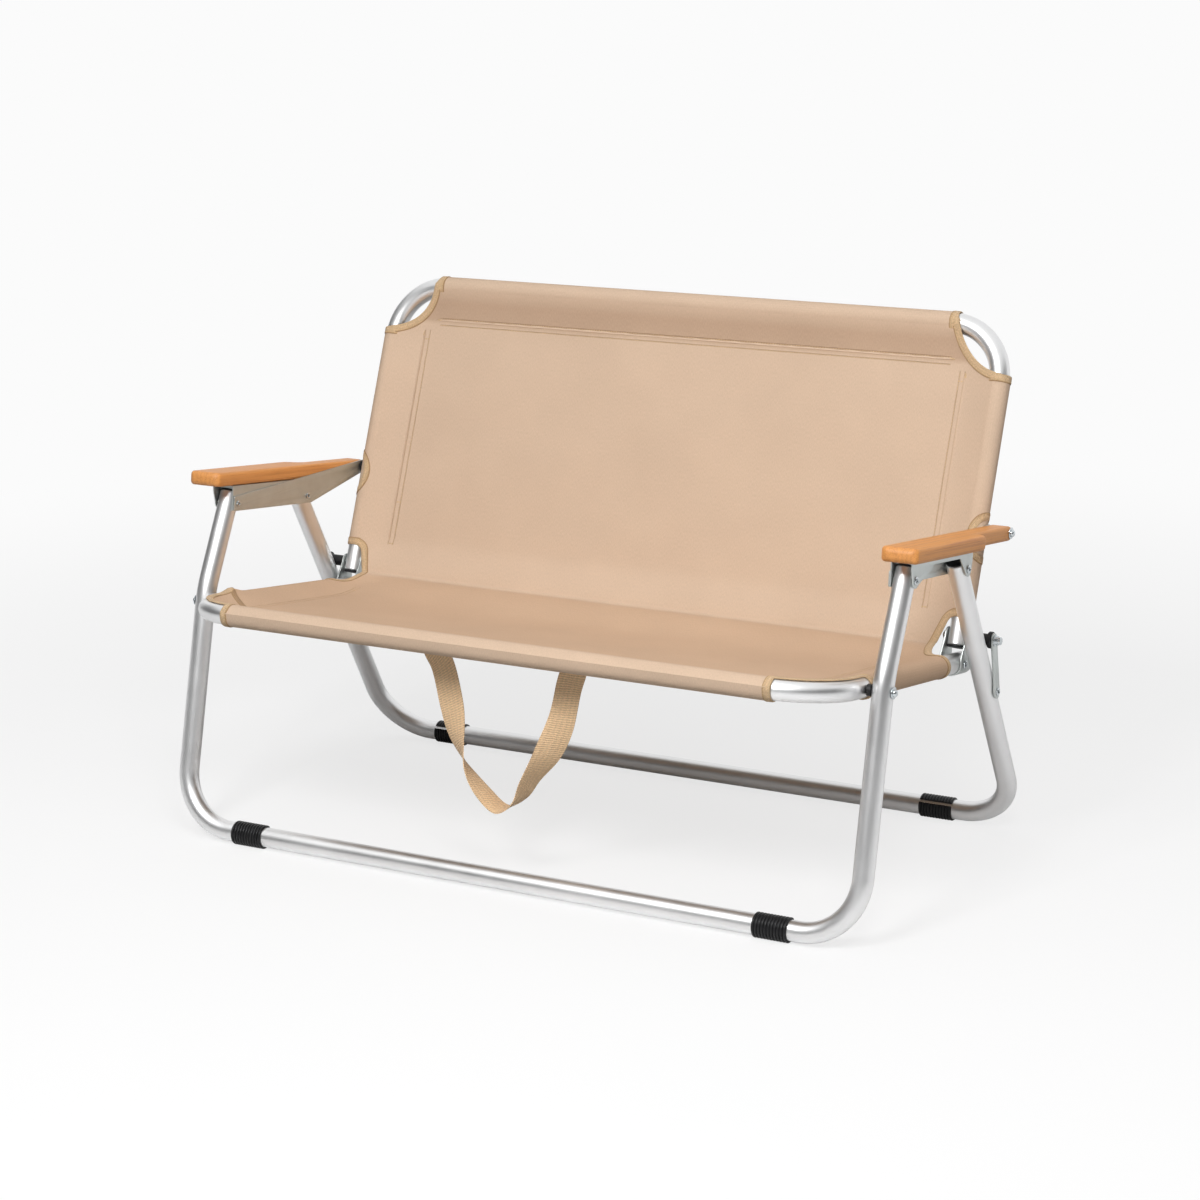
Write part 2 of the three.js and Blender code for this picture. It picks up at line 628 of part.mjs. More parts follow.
// Wooden armrests: a board with rounded edges, stepped in to a narrow tail for the back pivot
function woodenArm() {
  const rear = ARM_TAIL + WOOD_REAR;
  const board = new THREE.Shape();
  board.moveTo(woodInside, rear);
  const cornerY = WOOD_CORNER_R - WOOD_FRONT;
  board.absarc(woodInside + WOOD_CORNER_R, cornerY, WOOD_CORNER_R, Math.PI, 1.5 * Math.PI);
  board.absarc(woodOutside - WOOD_CORNER_R, cornerY, WOOD_CORNER_R, 1.5 * Math.PI, 2 * Math.PI);
  board.lineTo(woodOutside, WOOD_STEP);
  board.bezierCurveTo(
    woodOutside,
    WOOD_STEP + WOOD_STEP_LENGTH / 3,
    tailOutside,
    WOOD_STEP + WOOD_STEP_LENGTH / 4,
    tailOutside,
    WOOD_STEP + WOOD_STEP_LENGTH,
  );
  board.lineTo(tailOutside, rear);
  const blank = new THREE.ExtrudeGeometry(board, {
    depth: WOOD_THICK - 2 * WOOD_EDGE_R,
    bevelThickness: WOOD_EDGE_R,
    bevelSize: WOOD_EDGE_R,
    bevelOffset: -WOOD_EDGE_R,
    bevelSegments: 2,
    curveSegments: ARC_STEPS,
  });
  blank.translate(0, 0, WOOD_UNDERSIDE + WOOD_EDGE_R);
  const middle = WOOD_UNDERSIDE + WOOD_THICK / 2;
  const side = new THREE.Shape();
  side.moveTo(-WOOD_FRONT - PAST, WOOD_UNDERSIDE - PAST);
  side.lineTo(ARM_TAIL, WOOD_UNDERSIDE - PAST);
  side.absarc(rear - WOOD_THICK / 2, middle, WOOD_THICK / 2, -Math.PI / 2, Math.PI / 2, false);
  side.lineTo(-WOOD_FRONT - PAST, WOOD_UNDERSIDE + WOOD_THICK + PAST);
  const through = [woodInside - PAST, woodOutside + PAST];
  const rounded = solid(blank).intersect(plateX(side, ...through));
  const screwHoles = SCREW_PLACES.map((y) => screwRoom(y));
  return cut(
    rounded,
    pin(PIVOT_BOLT_R + CLEAR, ...through, ARM_TAIL, ARM_TAIL_RISE),
    ...screwHoles,
  );
}

// Wood screws up through the channel's web
function screwAt(y, radius, headRadius, top) {
  const under = webBottom - CLEAR;
  const profile = [[0, under - SCREW_HEAD_HEIGHT], [headRadius, under - SCREW_HEAD_HEIGHT]];
  profile.push([headRadius, under], [radius, under], [radius, top], [0, top]);
  const points = profile.map(([r, z]) => new THREE.Vector2(r, z));
  const geometry = new THREE.LatheGeometry(points, PIN_SIDES).rotateX(Math.PI / 2);
  return solid(geometry.translate(LEG_X, y, 0));
}
const screwTop = webTop + SCREW_LENGTH;
const screwRoom = (y) => screwAt(y, SCREW_R + CLEAR, SCREW_R + CLEAR, screwTop + CLEAR);

// Armrest channels: web under the wood, inner flange, and outer flange with an ear at each leg
function armChannel() {
  const rear = ARM_PIVOT_SPAN + CHANNEL_REAR;
  const section = outline([
    [channelInside, -EAR_R - PAST],
    [legInside - CLEAR, -EAR_R - PAST],
    [legInside - CLEAR, webBottom],
    [legOutside + CLEAR, webBottom],
    [legOutside + CLEAR, -EAR_R - PAST],
    [channelOutside, -EAR_R - PAST],
    [channelOutside, webTop],
    [channelInside, webTop],
  ]);
  const stripLow = webTop - STRIP_DEPTH;
  const ears = new THREE.Shape();
  ears.moveTo(-CHANNEL_FRONT, webTop + PAST);
  ears.lineTo(-CHANNEL_FRONT, webBottom - CHANNEL_FRONT / 2);
  ears.absarc(0, 0, EAR_R, Math.PI, radians(EAR_FRONT_ANGLE), false);
  ears.lineTo(ARM_PIVOT_SPAN / 3, stripLow);
  ears.lineTo(ARM_PIVOT_SPAN - 3 * EAR_R, stripLow);
  ears.absarc(ARM_PIVOT_SPAN, 0, EAR_R, radians(EAR_REAR_ANGLE), 2 * Math.PI, false);
  ears.lineTo(rear, EAR_R);
  ears.lineTo(rear, webTop + PAST);
  const inner = rectangle(-EAR_R, -EAR_R, rear, webTop + PAST);
  const keep = join(
    plateX(ears, LEG_X, channelOutside + PAST),
    plateX(inner, channelInside - PAST, LEG_X + PAST),
  );
  const channel = barY(section, -CHANNEL_FRONT, rear).intersect(keep);
  const through = [channelInside - PAST, channelOutside + PAST];
  return cut(
    channel,
    pin(RIVET_R + CLEAR, ...through, 0, 0),
    pin(RIVET_R + CLEAR, ...through, ARM_PIVOT_SPAN, 0),
    ...SCREW_PLACES.map((y) => screwRoom(y)),
  );
}

// Armrest bars: flat plates inside the channels that rise to the back pivot
function armBar() {
  const cornerY = BAR_CORNER_R - BAR_FRONT;
  const cornerZ = BAR_HALF_HEIGHT - BAR_CORNER_R;
  const tailAngles = [radians(BAR_TAIL_LOW_ANGLE), radians(BAR_TAIL_HIGH_ANGLE)];
  const plate = new THREE.Shape();
  plate.absarc(cornerY, cornerZ, BAR_CORNER_R, Math.PI / 2, Math.PI, false);
  plate.absarc(cornerY, -cornerZ, BAR_CORNER_R, Math.PI, 1.5 * Math.PI, false);
  plate.lineTo(ARM_PIVOT_SPAN + EAR_R, -BAR_HALF_HEIGHT);
  plate.absarc(ARM_TAIL, ARM_TAIL_RISE, BAR_TAIL_R, ...tailAngles, false);
  const through = [barInside - PAST, barOutside + PAST];
  return cut(
    plateX(plate, barInside, barOutside),
    pin(RIVET_R + CLEAR, ...through, 0, 0),
    pin(RIVET_R + CLEAR, ...through, ARM_PIVOT_SPAN, 0),
    pin(PIVOT_BOLT_R + CLEAR, ...through, ARM_TAIL, ARM_TAIL_RISE),
  );
}
addPair(armrests, "armrest_wood", woodenArm(), beech);
addPair(armrests, "armrest_channel", armChannel(), zincSteel);
addPair(armrests, "armrest_bar", armBar(), zincSteel);
addPair(armrests, "armrest_front_rivet", rivet(RIVET_R, barInside, channelOutside, 0, 0), brightSteel);
addPair(
  armrests,
  "armrest_rear_rivet",
  rivet(RIVET_R, barInside, channelOutside, ARM_PIVOT_SPAN, 0),
  brightSteel,
);
SCREW_PLACES.forEach((y, i) => {
  addPair(armrests, `armrest_screw_${i + 1}`, screwAt(y, SCREW_R, SCREW_HEAD_R, screwTop), brightSteel);
});

// Back pivots: cap-nut bolt through the wood's tail, and a spacer towards the back tube
const tailAt = [ARM_TAIL, ARM_TAIL_RISE];
const tailFace = tailOutside + CLEAR;
const tailBolt = turned(
  [
    [0, tubeOutside + CLEAR],
    [PIVOT_BOLT_R, tubeOutside + CLEAR],
    [PIVOT_BOLT_R, tailFace],
    ...capNut(tailFace),
  ],
  ...tailAt,
);
addPair(armrests, "armrest_back_bolt", tailBolt, brightSteel);
const tailSpacer = sleeve(pivotBore, SPACER_R, tubeOutside + CLEAR, barInside - CLEAR, ...tailAt);
addPair(armrests, "armrest_back_spacer", tailSpacer, blackPlastic);

// Links: flat strips from the hinge bolt down to the rear legs, with a rivet at the lower end
const linkLength = link.length();
function linkStrip() {
  const strip = new THREE.Shape();
  strip.absarc(0, 0, LINK_HALF_WIDTH, 0, Math.PI, false);
  strip.absarc(0, -linkLength, LINK_HALF_WIDTH, Math.PI, 2 * Math.PI, false);
  const through = [linkInside - PAST, linkOutside + PAST];
  return cut(
    plateX(strip, linkInside, linkOutside),
    pin(HINGE_BOLT_R + CLEAR, ...through, 0, 0),
    pin(RIVET_R + CLEAR, ...through, 0, -linkLength),
  );
}
addPair(links, "link", linkStrip(), zincSteel);
const linkRivet = turned(
  [
    [0, linkInside],
    [RIVET_R, linkInside],
    [RIVET_R, linkOutside + CLEAR],
    ...dome(2 * RIVET_R, RIVET_HEAD_HEIGHT, linkOutside + CLEAR),
  ],
  0,
  -linkLength,
);
addPair(links, "link_rivet", linkRivet, brightSteel);

// Sleeve section: round the tube, flat on the sitter's side, closing to the seam on the other
// place turns a distance out from the tube and one towards the sitter into the outline's plane
function sleeveSection(place) {
  const sheetUnder = SLEEVE_R - SHEET;
  const reach = Math.hypot(SEAM, sheetUnder);
  const lastAngle = Math.atan2(sheetUnder, -SEAM) + Math.acos(SLEEVE_R / reach) - 2 * Math.PI;
  const points = [place(-SEAM, sheetUnder), place(-SEAM, SLEEVE_R)];
  for (let k = 0; k <= SLEEVE_STEPS; k++) {
    const angle = Math.PI / 2 + ((lastAngle - Math.PI / 2) * k) / SLEEVE_STEPS;
    points.push(place(SLEEVE_R * Math.cos(angle), SLEEVE_R * Math.sin(angle)));
  }
  return outline(points);
}

// A thin sheet on a grid: place gives the point for a share across, a share along and a depth
function sheet(place) {
  const face = (depth) => {
    const points = [];
    for (let j = 0; j <= SHEET_ROWS; j++) {
      for (let i = 0; i <= SHEET_COLUMNS; i++) {
        points.push(place(i / SHEET_COLUMNS, j / SHEET_ROWS, depth));
      }
    }
    return points;
  };
  const points = [...face(0), ...face(SHEET)];
  const width = SHEET_COLUMNS + 1;
  const under = width * (SHEET_ROWS + 1);
  const index = [];
  const quad = (a, b, c, d) => index.push(a, b, c, a, c, d);
  for (let j = 0; j < SHEET_ROWS; j++) {
    for (let i = 0; i < SHEET_COLUMNS; i++) {
      const a = j * width + i;
      quad(a, a + 1, a + width + 1, a + width);
      quad(under + a, under + a + width, under + a + width + 1, under + a + 1);
    }
  }
  for (let i = 0; i < SHEET_COLUMNS; i++) {
    const far = SHEET_ROWS * width + i;
    quad(i + 1, i, under + i, under + i + 1);
    quad(far, far + 1, under + far + 1, under + far);
  }
  for (let j = 0; j < SHEET_ROWS; j++) {
    const near = j * width;
    const far = near + SHEET_COLUMNS;
    quad(near, near + width, under + near + width, under + near);
    quad(far + width, far, under + far, under + far + width);
  }
  const geometry = new THREE.BufferGeometry();
  const positions = points.flatMap((p) => p.toArray());
  geometry.setAttribute("position", new THREE.Float32BufferAttribute(positions, 3));
  geometry.setIndex(index);
  return solid(geometry);
}
const sagAt = (x, share) =>
  Math.max(0, 1 - (x / SEAM_X) ** 2) * Math.sin(Math.PI * THREE.MathUtils.clamp(share, 0, 1));

// A sling outline: the right half's points, then the same mirrored
function slingOutline(half) {
  const left = half.map(([x, y]) => [-x, y]).reverse();
  return outline([...half, ...left]);
}

// Concave cut between two points, bowed in towards a third
function concave(from, through, to) {
  const curve = new THREE.QuadraticBezierCurve(pivot(...from), pivot(...through), pivot(...to));
  return curve.getPoints(ARC_STEPS).map((p) => p.toArray());
}

// Seat fabric, its front corners cut along the tops of the tube's bends
function seatFabric() {
  const sides = barY(
    sleeveSection((out, up) => [SIDE_X + out, up]),
    SEAT_SLEEVE_START,
    SEAT_SLEEVE_END,
  );
  const frontSleeve = plateX(
    sleeveSection((out, up) => [-SEAT_FRONT - out, up]),
    -SLEEVE_END_X,
    SLEEVE_END_X,
  );
  const top = sheet((across, along, depth) => {
    const x = (2 * across - 1) * SIDE_X;
    const y = THREE.MathUtils.lerp(-SEAT_FRONT, CREASE_REACH, along);
    const rise = CREASE_RISE * THREE.MathUtils.smoothstep(y, SEAT_SLEEVE_END / 2, CREASE_REACH);
    const sag = SEAT_SAG * sagAt(x, (y + SEAT_FRONT - SEAM) / (CREASE_REACH + SEAT_FRONT - SEAM));
    return axis(x, y, SLEEVE_R + rise - sag - depth);
  });
  const bend = new THREE.EllipseCurve(SIDE_X - BEND_R, BEND_R - SEAT_FRONT, BEND_R, BEND_R);
  bend.aStartAngle = -Math.acos((SLEEVE_END_X - SIDE_X + BEND_R) / BEND_R);
  bend.aEndAngle = 0;
  const shape = slingOutline([
    [SLEEVE_END_X, -SEAT_FRONT - SLEEVE_R - PAST],
    ...bend.getPoints(ARC_STEPS).map((p) => p.toArray()),
    [SIDE_X, SEAT_SLEEVE_START],
    [SLEEVE_OUT, SEAT_SLEEVE_START],
    [SLEEVE_OUT, SEAT_SLEEVE_END],
    ...concave(
      [HINGE_CUT_X, SEAT_SLEEVE_END],
      [CREASE_HALF_WIDTH, SEAT_SLEEVE_END],
      [CREASE_HALF_WIDTH, CREASE_REACH + PAST],
    ),
  ]);
  const cloth = join(bothSides(sides), frontSleeve, top);
  return cut(cloth.intersect(slabZ(shape, -BEND_R, BEND_R)), tubeRoom(seatPath));
}
add(seat, "seat_fabric", seatFabric(), fabric);

// Back fabric, with a notch at each armrest pivot
function backFabric() {
  const sides = slabZ(
    sleeveSection((out, forward) => [SIDE_X + out, -forward]),
    BACK_SLEEVE_LOW,
    BACK_SLEEVE_HIGH,
  );
  const topSleeve = plateX(
    sleeveSection((out, forward) => [-forward, BACK_TOP + out]),
    -SLEEVE_END_X,
    SLEEVE_END_X,
  );
  const front = sheet((across, along, depth) => {
    const x = (2 * across - 1) * SIDE_X;
    const z = THREE.MathUtils.lerp(-CREASE_LOW, BACK_TOP, along);
    const sag = BACK_SAG * sagAt(x, (z + CREASE_LOW) / (BACK_TOP - SEAM + CREASE_LOW));
    return axis(x, sag + depth - SLEEVE_R, z);
  });
  const shape = slingOutline([
    [CREASE_HALF_WIDTH, -CREASE_LOW - PAST],
    ...concave(
      [CREASE_HALF_WIDTH, 0],
      [CREASE_HALF_WIDTH, BACK_SLEEVE_LOW],
      [HINGE_CUT_X, BACK_SLEEVE_LOW],
    ),
    [SLEEVE_OUT, BACK_SLEEVE_LOW],
    ...concave(
      [SLEEVE_OUT, BACK_SLEEVE_HIGH],
      [SLEEVE_END_X + BACK_CORNER_INSET, BACK_SLEEVE_HIGH + BACK_CORNER_INSET],
      [SLEEVE_END_X, BACK_TOP + SLEEVE_R + PAST],
    ),
  ]);
  const notch = new THREE.CylinderGeometry(1, 1, 4 * SLEEVE_R, TUBE_SIDES);
  notch.scale(NOTCH_DEPTH, 1, NOTCH_HALF_HEIGHT).translate(SLEEVE_OUT, 0, BACK_PIVOT - NOTCH_LOW);
  const cloth = join(bothSides(sides), topSleeve, front);
  const trimmed = cloth.intersect(barY(shape, -BEND_R, BEND_R));
  return cut(trimmed, bothSides(solid(notch)), tubeRoom(backPath));
}
add(back, "back_fabric", backFabric(), fabric);

// Carry strap: webbing sewn flat along the front seam at both ends, hanging in a loop with half a twist
function carryStrap() {
  const under = SLEEVE_R - SHEET - CLEAR - STRAP_SAG_ROOM;
  const top = pivot(SEAM - SEAT_FRONT + STRAP_BEHIND_SEAM, under);
  top.rotateAround(pivot(0, 0), -radians(SEAT_SLOPE_ANGLE)).add(seatPivot);
  const hang = (x, drop) => axis(x, top.x, top.y - drop);
  const middle = STRAP_ROUTE.map(([x, z]) => axis(x, top.x, z));
  const route = new THREE.CatmullRomCurve3([
    hang(STRAP_LEFT_X, 0),
    hang(STRAP_LEFT_X, STRAP_SEW_LENGTH),
    ...middle,
    hang(STRAP_RIGHT_X, STRAP_SEW_LENGTH),
    hang(STRAP_RIGHT_X, 0),
  ]);
  const rings = route.getSpacedPoints(STRAP_STEPS).map((point, i) => {
    const share = i / STRAP_STEPS;
    const tangent = route.getTangentAt(share);
    const twist = (range) => THREE.MathUtils.smoothstep(share, ...range);
    const turn = (-Math.PI / 2) * (twist(STRAP_LEFT_TWIST) + twist(STRAP_RIGHT_TWIST));
    const flat = axis(Math.cos(turn), Math.sin(turn), 0);
    const across = flat.addScaledVector(tangent, -tangent.dot(flat)).normalize();
    const through = tangent.clone().cross(across);
    const corner = (a, b) => point.clone().addScaledVector(across, a).addScaledVector(through, b);
    const half = STRAP_WIDTH / 2;
    const thick = STRAP_THICK / 2;
    return [corner(-half, -thick), corner(half, -thick), corner(half, thick), corner(-half, thick)];
  });
  return solid(rodOfRings(rings));
}
add(bench, "carry_strap", carryStrap(), webbing);

export default bench;
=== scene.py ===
import math

import bpy
import numpy as np
from mathutils import Matrix, Vector, geometry


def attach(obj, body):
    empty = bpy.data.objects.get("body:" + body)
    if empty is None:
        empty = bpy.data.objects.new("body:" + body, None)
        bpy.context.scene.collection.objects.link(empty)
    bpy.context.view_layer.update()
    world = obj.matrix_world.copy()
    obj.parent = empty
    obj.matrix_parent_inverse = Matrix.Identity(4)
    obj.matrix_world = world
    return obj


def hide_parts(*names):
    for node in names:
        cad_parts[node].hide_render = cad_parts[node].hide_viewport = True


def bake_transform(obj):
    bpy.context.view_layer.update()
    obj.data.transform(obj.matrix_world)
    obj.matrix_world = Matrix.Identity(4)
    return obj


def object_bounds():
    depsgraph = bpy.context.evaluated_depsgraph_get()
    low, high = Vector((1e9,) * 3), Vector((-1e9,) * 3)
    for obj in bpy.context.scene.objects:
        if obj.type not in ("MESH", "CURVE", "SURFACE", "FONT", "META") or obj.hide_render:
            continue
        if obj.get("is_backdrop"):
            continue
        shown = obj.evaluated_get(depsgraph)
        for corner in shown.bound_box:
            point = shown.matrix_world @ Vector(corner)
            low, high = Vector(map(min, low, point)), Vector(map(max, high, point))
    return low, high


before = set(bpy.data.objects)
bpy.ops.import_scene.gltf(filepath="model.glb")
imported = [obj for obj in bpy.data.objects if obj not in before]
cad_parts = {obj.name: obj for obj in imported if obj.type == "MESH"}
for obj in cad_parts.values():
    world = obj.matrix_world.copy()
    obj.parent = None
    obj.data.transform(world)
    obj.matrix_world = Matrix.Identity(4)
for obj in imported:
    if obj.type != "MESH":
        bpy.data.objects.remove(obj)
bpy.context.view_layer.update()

# Sizes in millimetres, as in the part's source
MM = 0.001
TUBE_R = 14.0
BEND_R = 80.0
KINK_R = 150.0
LEG_X = 525.0
SIDE_X = 490.0
CLEAR = 0.3
BAR_HEIGHT = 16.0
FRONT_LEAN = 14.0
UPPER_LEAN = 28.0
SEAT_PIVOT_LENGTH = 318.0
KINK_LENGTH = 334.0
UPPER_LEG_LENGTH = 130.0
FRONT_TOP = 15.0
SEAT_SLOPE = 8.7
SEAT_FRONT = 94.0
SEAT_REAR = 336.0
HINGE_REACH = 327.5
HINGE_RISE = 36.0
RECLINE = 22.1
BACK_TOP = 430.0
BACK_LOW = 13.0
BACK_PIVOT = 147.0
LEG_ROOM = 2.7
SPACER_R = 8.0
REAR_TOP = 12.0
LINK_PIVOT_LENGTH = 221.0
ARM_PIVOT_SPAN = 174.0
ARM_TAIL_RISE = 36.5
SIDES = (("right", 1), ("left", -1))


# Pivots in the side view, as y from the front floor bar and z from the floor
def turn(point, degrees):
    c, s = math.cos(math.radians(degrees)), math.sin(math.radians(degrees))
    return np.array([c * point[0] - s * point[1], s * point[0] + c * point[1]])


def upward(start, lean, length):
    return start + length * np.array([math.sin(math.radians(lean)), math.cos(math.radians(lean))])


front_bar = np.array([0.0, BAR_HEIGHT])
seat_pivot = upward(front_bar, FRONT_LEAN, SEAT_PIVOT_LENGTH)
kink = upward(front_bar, FRONT_LEAN, KINK_LENGTH)
arm_front = upward(kink, UPPER_LEAN, UPPER_LEG_LENGTH)
hinge = seat_pivot + turn((HINGE_REACH, HINGE_RISE), -SEAT_SLOPE)
arm_back = upward(hinge, RECLINE, BACK_PIVOT)
ARM_TAIL = math.sqrt(float(np.sum((arm_back - arm_front) ** 2)) - ARM_TAIL_RISE**2)
arm_turn = math.degrees(
    math.atan2(*(arm_back - arm_front)[::-1]) - math.atan2(ARM_TAIL_RISE, ARM_TAIL)
)
arm_rear = arm_front + turn((ARM_PIVOT_SPAN, 0), arm_turn)
to_hinge = hinge - arm_rear
rear_lean = math.degrees(
    math.atan2(to_hinge[0], -to_hinge[1])
    - math.asin((TUBE_R + SPACER_R + LEG_ROOM) / np.hypot(*to_hinge))
)
rear_drop = arm_rear[1] - BAR_HEIGHT
rear_bar = np.array([arm_rear[0] + rear_drop * math.tan(math.radians(rear_lean)), BAR_HEIGHT])
REAR_LENGTH = rear_drop / math.cos(math.radians(rear_lean))
seat_front = seat_pivot + turn((-SEAT_FRONT, 0), -SEAT_SLOPE)
MID_Y = (seat_front[0] + upward(hinge, RECLINE, BACK_TOP)[0]) / 2
link_vector = arm_rear + (rear_bar - arm_rear) / REAR_LENGTH * LINK_PIVOT_LENGTH - hinge


class Place:
    """A body's own frame: its origin in the side view and its turn about X."""

    def __init__(self, body, origin, degrees):
        self.body = body
        self.origin = origin
        self.degrees = degrees

    def __call__(self, points):
        points = np.asarray(points, float)
        y, z = turn(points[:, 1:].T, self.degrees)
        return np.stack([points[:, 0], y + self.origin[0] - MID_Y, z + self.origin[1]], 1)

    def matrix(self):
        spot = Matrix.Translation((0, (self.origin[0] - MID_Y) * MM, self.origin[1] * MM))
        return spot @ Matrix.Rotation(math.radians(self.degrees), 4, "X")


SEAT = Place("seat", seat_pivot, -SEAT_SLOPE)
BACK = Place("back", hinge, -RECLINE)
FRONT = Place("front_legs", front_bar, 0)
REAR = Place("rear_legs", rear_bar, rear_lean)
ARM = Place("armrests", arm_front, arm_turn)
LINK = Place("links", hinge, math.degrees(math.atan2(link_vector[0], -link_vector[1])))

# Materials
NOISE_ROUGH = 0.55
WEAVE = 0.0016
WEAVE_DEPTH = 0.00025
HEATHER = 0.075
TAN = (0.63, 0.468, 0.343)
KHAKI = (0.65, 0.455, 0.27)
BEECH_LIGHT = (0.72, 0.31, 0.085)
BEECH_DEEP = (0.53, 0.2, 0.05)
# Colour, roughness and its spread, scale of the cloudy wear, and depth of the grain in metres
METALS = {
    "aluminium_tube": ((0.82, 0.822, 0.825), 0.4, 0.05, 9, 0.00005),
    "zinc_steel": ((0.56, 0.59, 0.58), 0.42, 0.08, 60, 0.0001),
    "bright_steel": ((0.62, 0.66, 0.68), 0.24, 0.05, 90, 0.00005),
}
# Colour and roughness
PLASTICS = {
    "black_plastic": ((0.011, 0.011, 0.012), 0.45),
    "foot_rubber": ((0.011, 0.011, 0.012), 0.36),
    "thread": ((0.56, 0.39, 0.22), 0.8),
}
# Colour, rib in metres, and where the painted shadow along the tape's inner edge fades out
WEBS = {
    "binding_tape": (KHAKI, 0.0016, (0.0032, 0.0046)),
    "webbing": ((0.86, 0.6, 0.36), 0.0034, None),
}


class Nodes:
    """The nodes of a material or a world, with short ways to add more."""

    def __init__(self, owner):
        owner.use_nodes = True
        self.owner = owner
        self.tree = owner.node_tree

    def put(self, socket, value):
        if isinstance(value, bpy.types.NodeSocket):
            self.tree.links.new(value, socket)
        else:
            socket.default_value = value

    def add(self, kind, inputs, output=0, **settings):
        node = self.tree.nodes.new("ShaderNode" + kind)
        for key, value in settings.items():
            setattr(node, key, value)
        for key, value in inputs.items():
            self.put(node.inputs[key], value)
        return node.outputs[output]

    def surface(self, inputs):
        for key, value in inputs.items():
            self.put(self.tree.nodes["Principled BSDF"].inputs[key], value)
        return self.owner

    def place(self):
        return self.add("TexCoord", {}, "Object")

    def flat(self):
        """The flat pattern's place, and its parts across and along."""
        place = self.add("UVMap", {}, uv_map="flat")
        across = self.add("SeparateXYZ", {"Vector": place})
        return place, across, across.node.outputs["Y"]

    def calc(self, operation, *values):
        return self.add("Math", dict(enumerate(values)), operation=operation)

    def times(self, value, factor):
        return self.calc("MULTIPLY", value, factor)

    def wave(self, value, pitch):
        return self.calc("SINE", self.times(value, math.tau / pitch))

    def span(self, value, low, high, first=0.0, last=1.0, **settings):
        """A value that runs from first to last while the given one runs from low to high."""
        inputs = {"Value": value, "From Min": low, "From Max": high, "To Min": first, "To Max": last}
        return self.add("MapRange", inputs, **settings)

    def ramp(self, value, *stops):
        colours = self.add("ValToRGB", {"Fac": value})
        elements = colours.node.color_ramp.elements
        while len(elements) < len(stops):
            elements.new(0.5)
        for element, (position, colour) in zip(elements, stops):
            element.position = position
            element.color = (*colour, 1)
        return colours

    def noise(self, vector, scale, detail):
        mapped = self.add("Mapping", {"Vector": vector, "Scale": scale})
        inputs = {"Vector": mapped, "Scale": 1.0, "Detail": detail, "Roughness": NOISE_ROUGH}
        return self.add("TexNoise", inputs)

    def bump(self, height, distance, strength, **under):
        return self.add("Bump", {"Height": height, "Distance": distance, "Strength": strength, **under})

    def tint(self, base, share, colour):
        inputs = {"Fac": share, "Color1": base, "Color2": (*colour, 1)}
        return self.add("MixRGB", inputs, blend_type="MULTIPLY")

    def looking(self):
        """The camera's rays, those of mirrors and clear matter, and both: not the light on the object."""
        camera_ray = self.add("LightPath", {}, "Is Camera Ray")
        rays = camera_ray.node.outputs
        shiny_ray = self.calc("MAXIMUM", rays["Is Glossy Ray"], rays["Is Transmission Ray"])
        return camera_ray, shiny_ray, self.calc("MAXIMUM", camera_ray, shiny_ray)


def new_material(name):
    return Nodes(bpy.data.materials.new(name))


def grey(value):
    return (value, value, value)


def shade(colour, factor):
    return tuple(c * factor for c in colour)


def metal_material(name, colour, rough, spread, scale, depth, finer=30):
    n = new_material(name)
    cloud = n.noise(n.place(), grey(scale), 4.0)
    fine = n.noise(n.place(), grey(scale * finer), 2.0)
    return n.surface({
        "Base Color": n.ramp(cloud, (0.25, shade(colour, 0.93)), (0.75, shade(colour, 1.04))),
        "Metallic": 1.0,
        "Roughness": n.ramp(cloud, (0.2, grey(rough - spread)), (0.8, grey(rough + spread))),
        "Normal": n.bump(fine, depth, 0.4),
    })


def plastic_material(name, colour, rough):
    n = new_material(name)
    cloud = n.noise(n.place(), grey(60), 4.0)
    grain = n.noise(n.place(), grey(1400), 2.0)
    return n.surface({
        "Base Color": n.ramp(cloud, (0.3, shade(colour, 0.8)), (0.75, shade(colour, 1.3))),
        "Roughness": n.ramp(cloud, (0.2, grey(rough - 0.06)), (0.8, grey(rough + 0.08))),
        "Normal": n.bump(grain, 0.0001, 0.35),
        "Specular IOR Level": 0.3,
    })


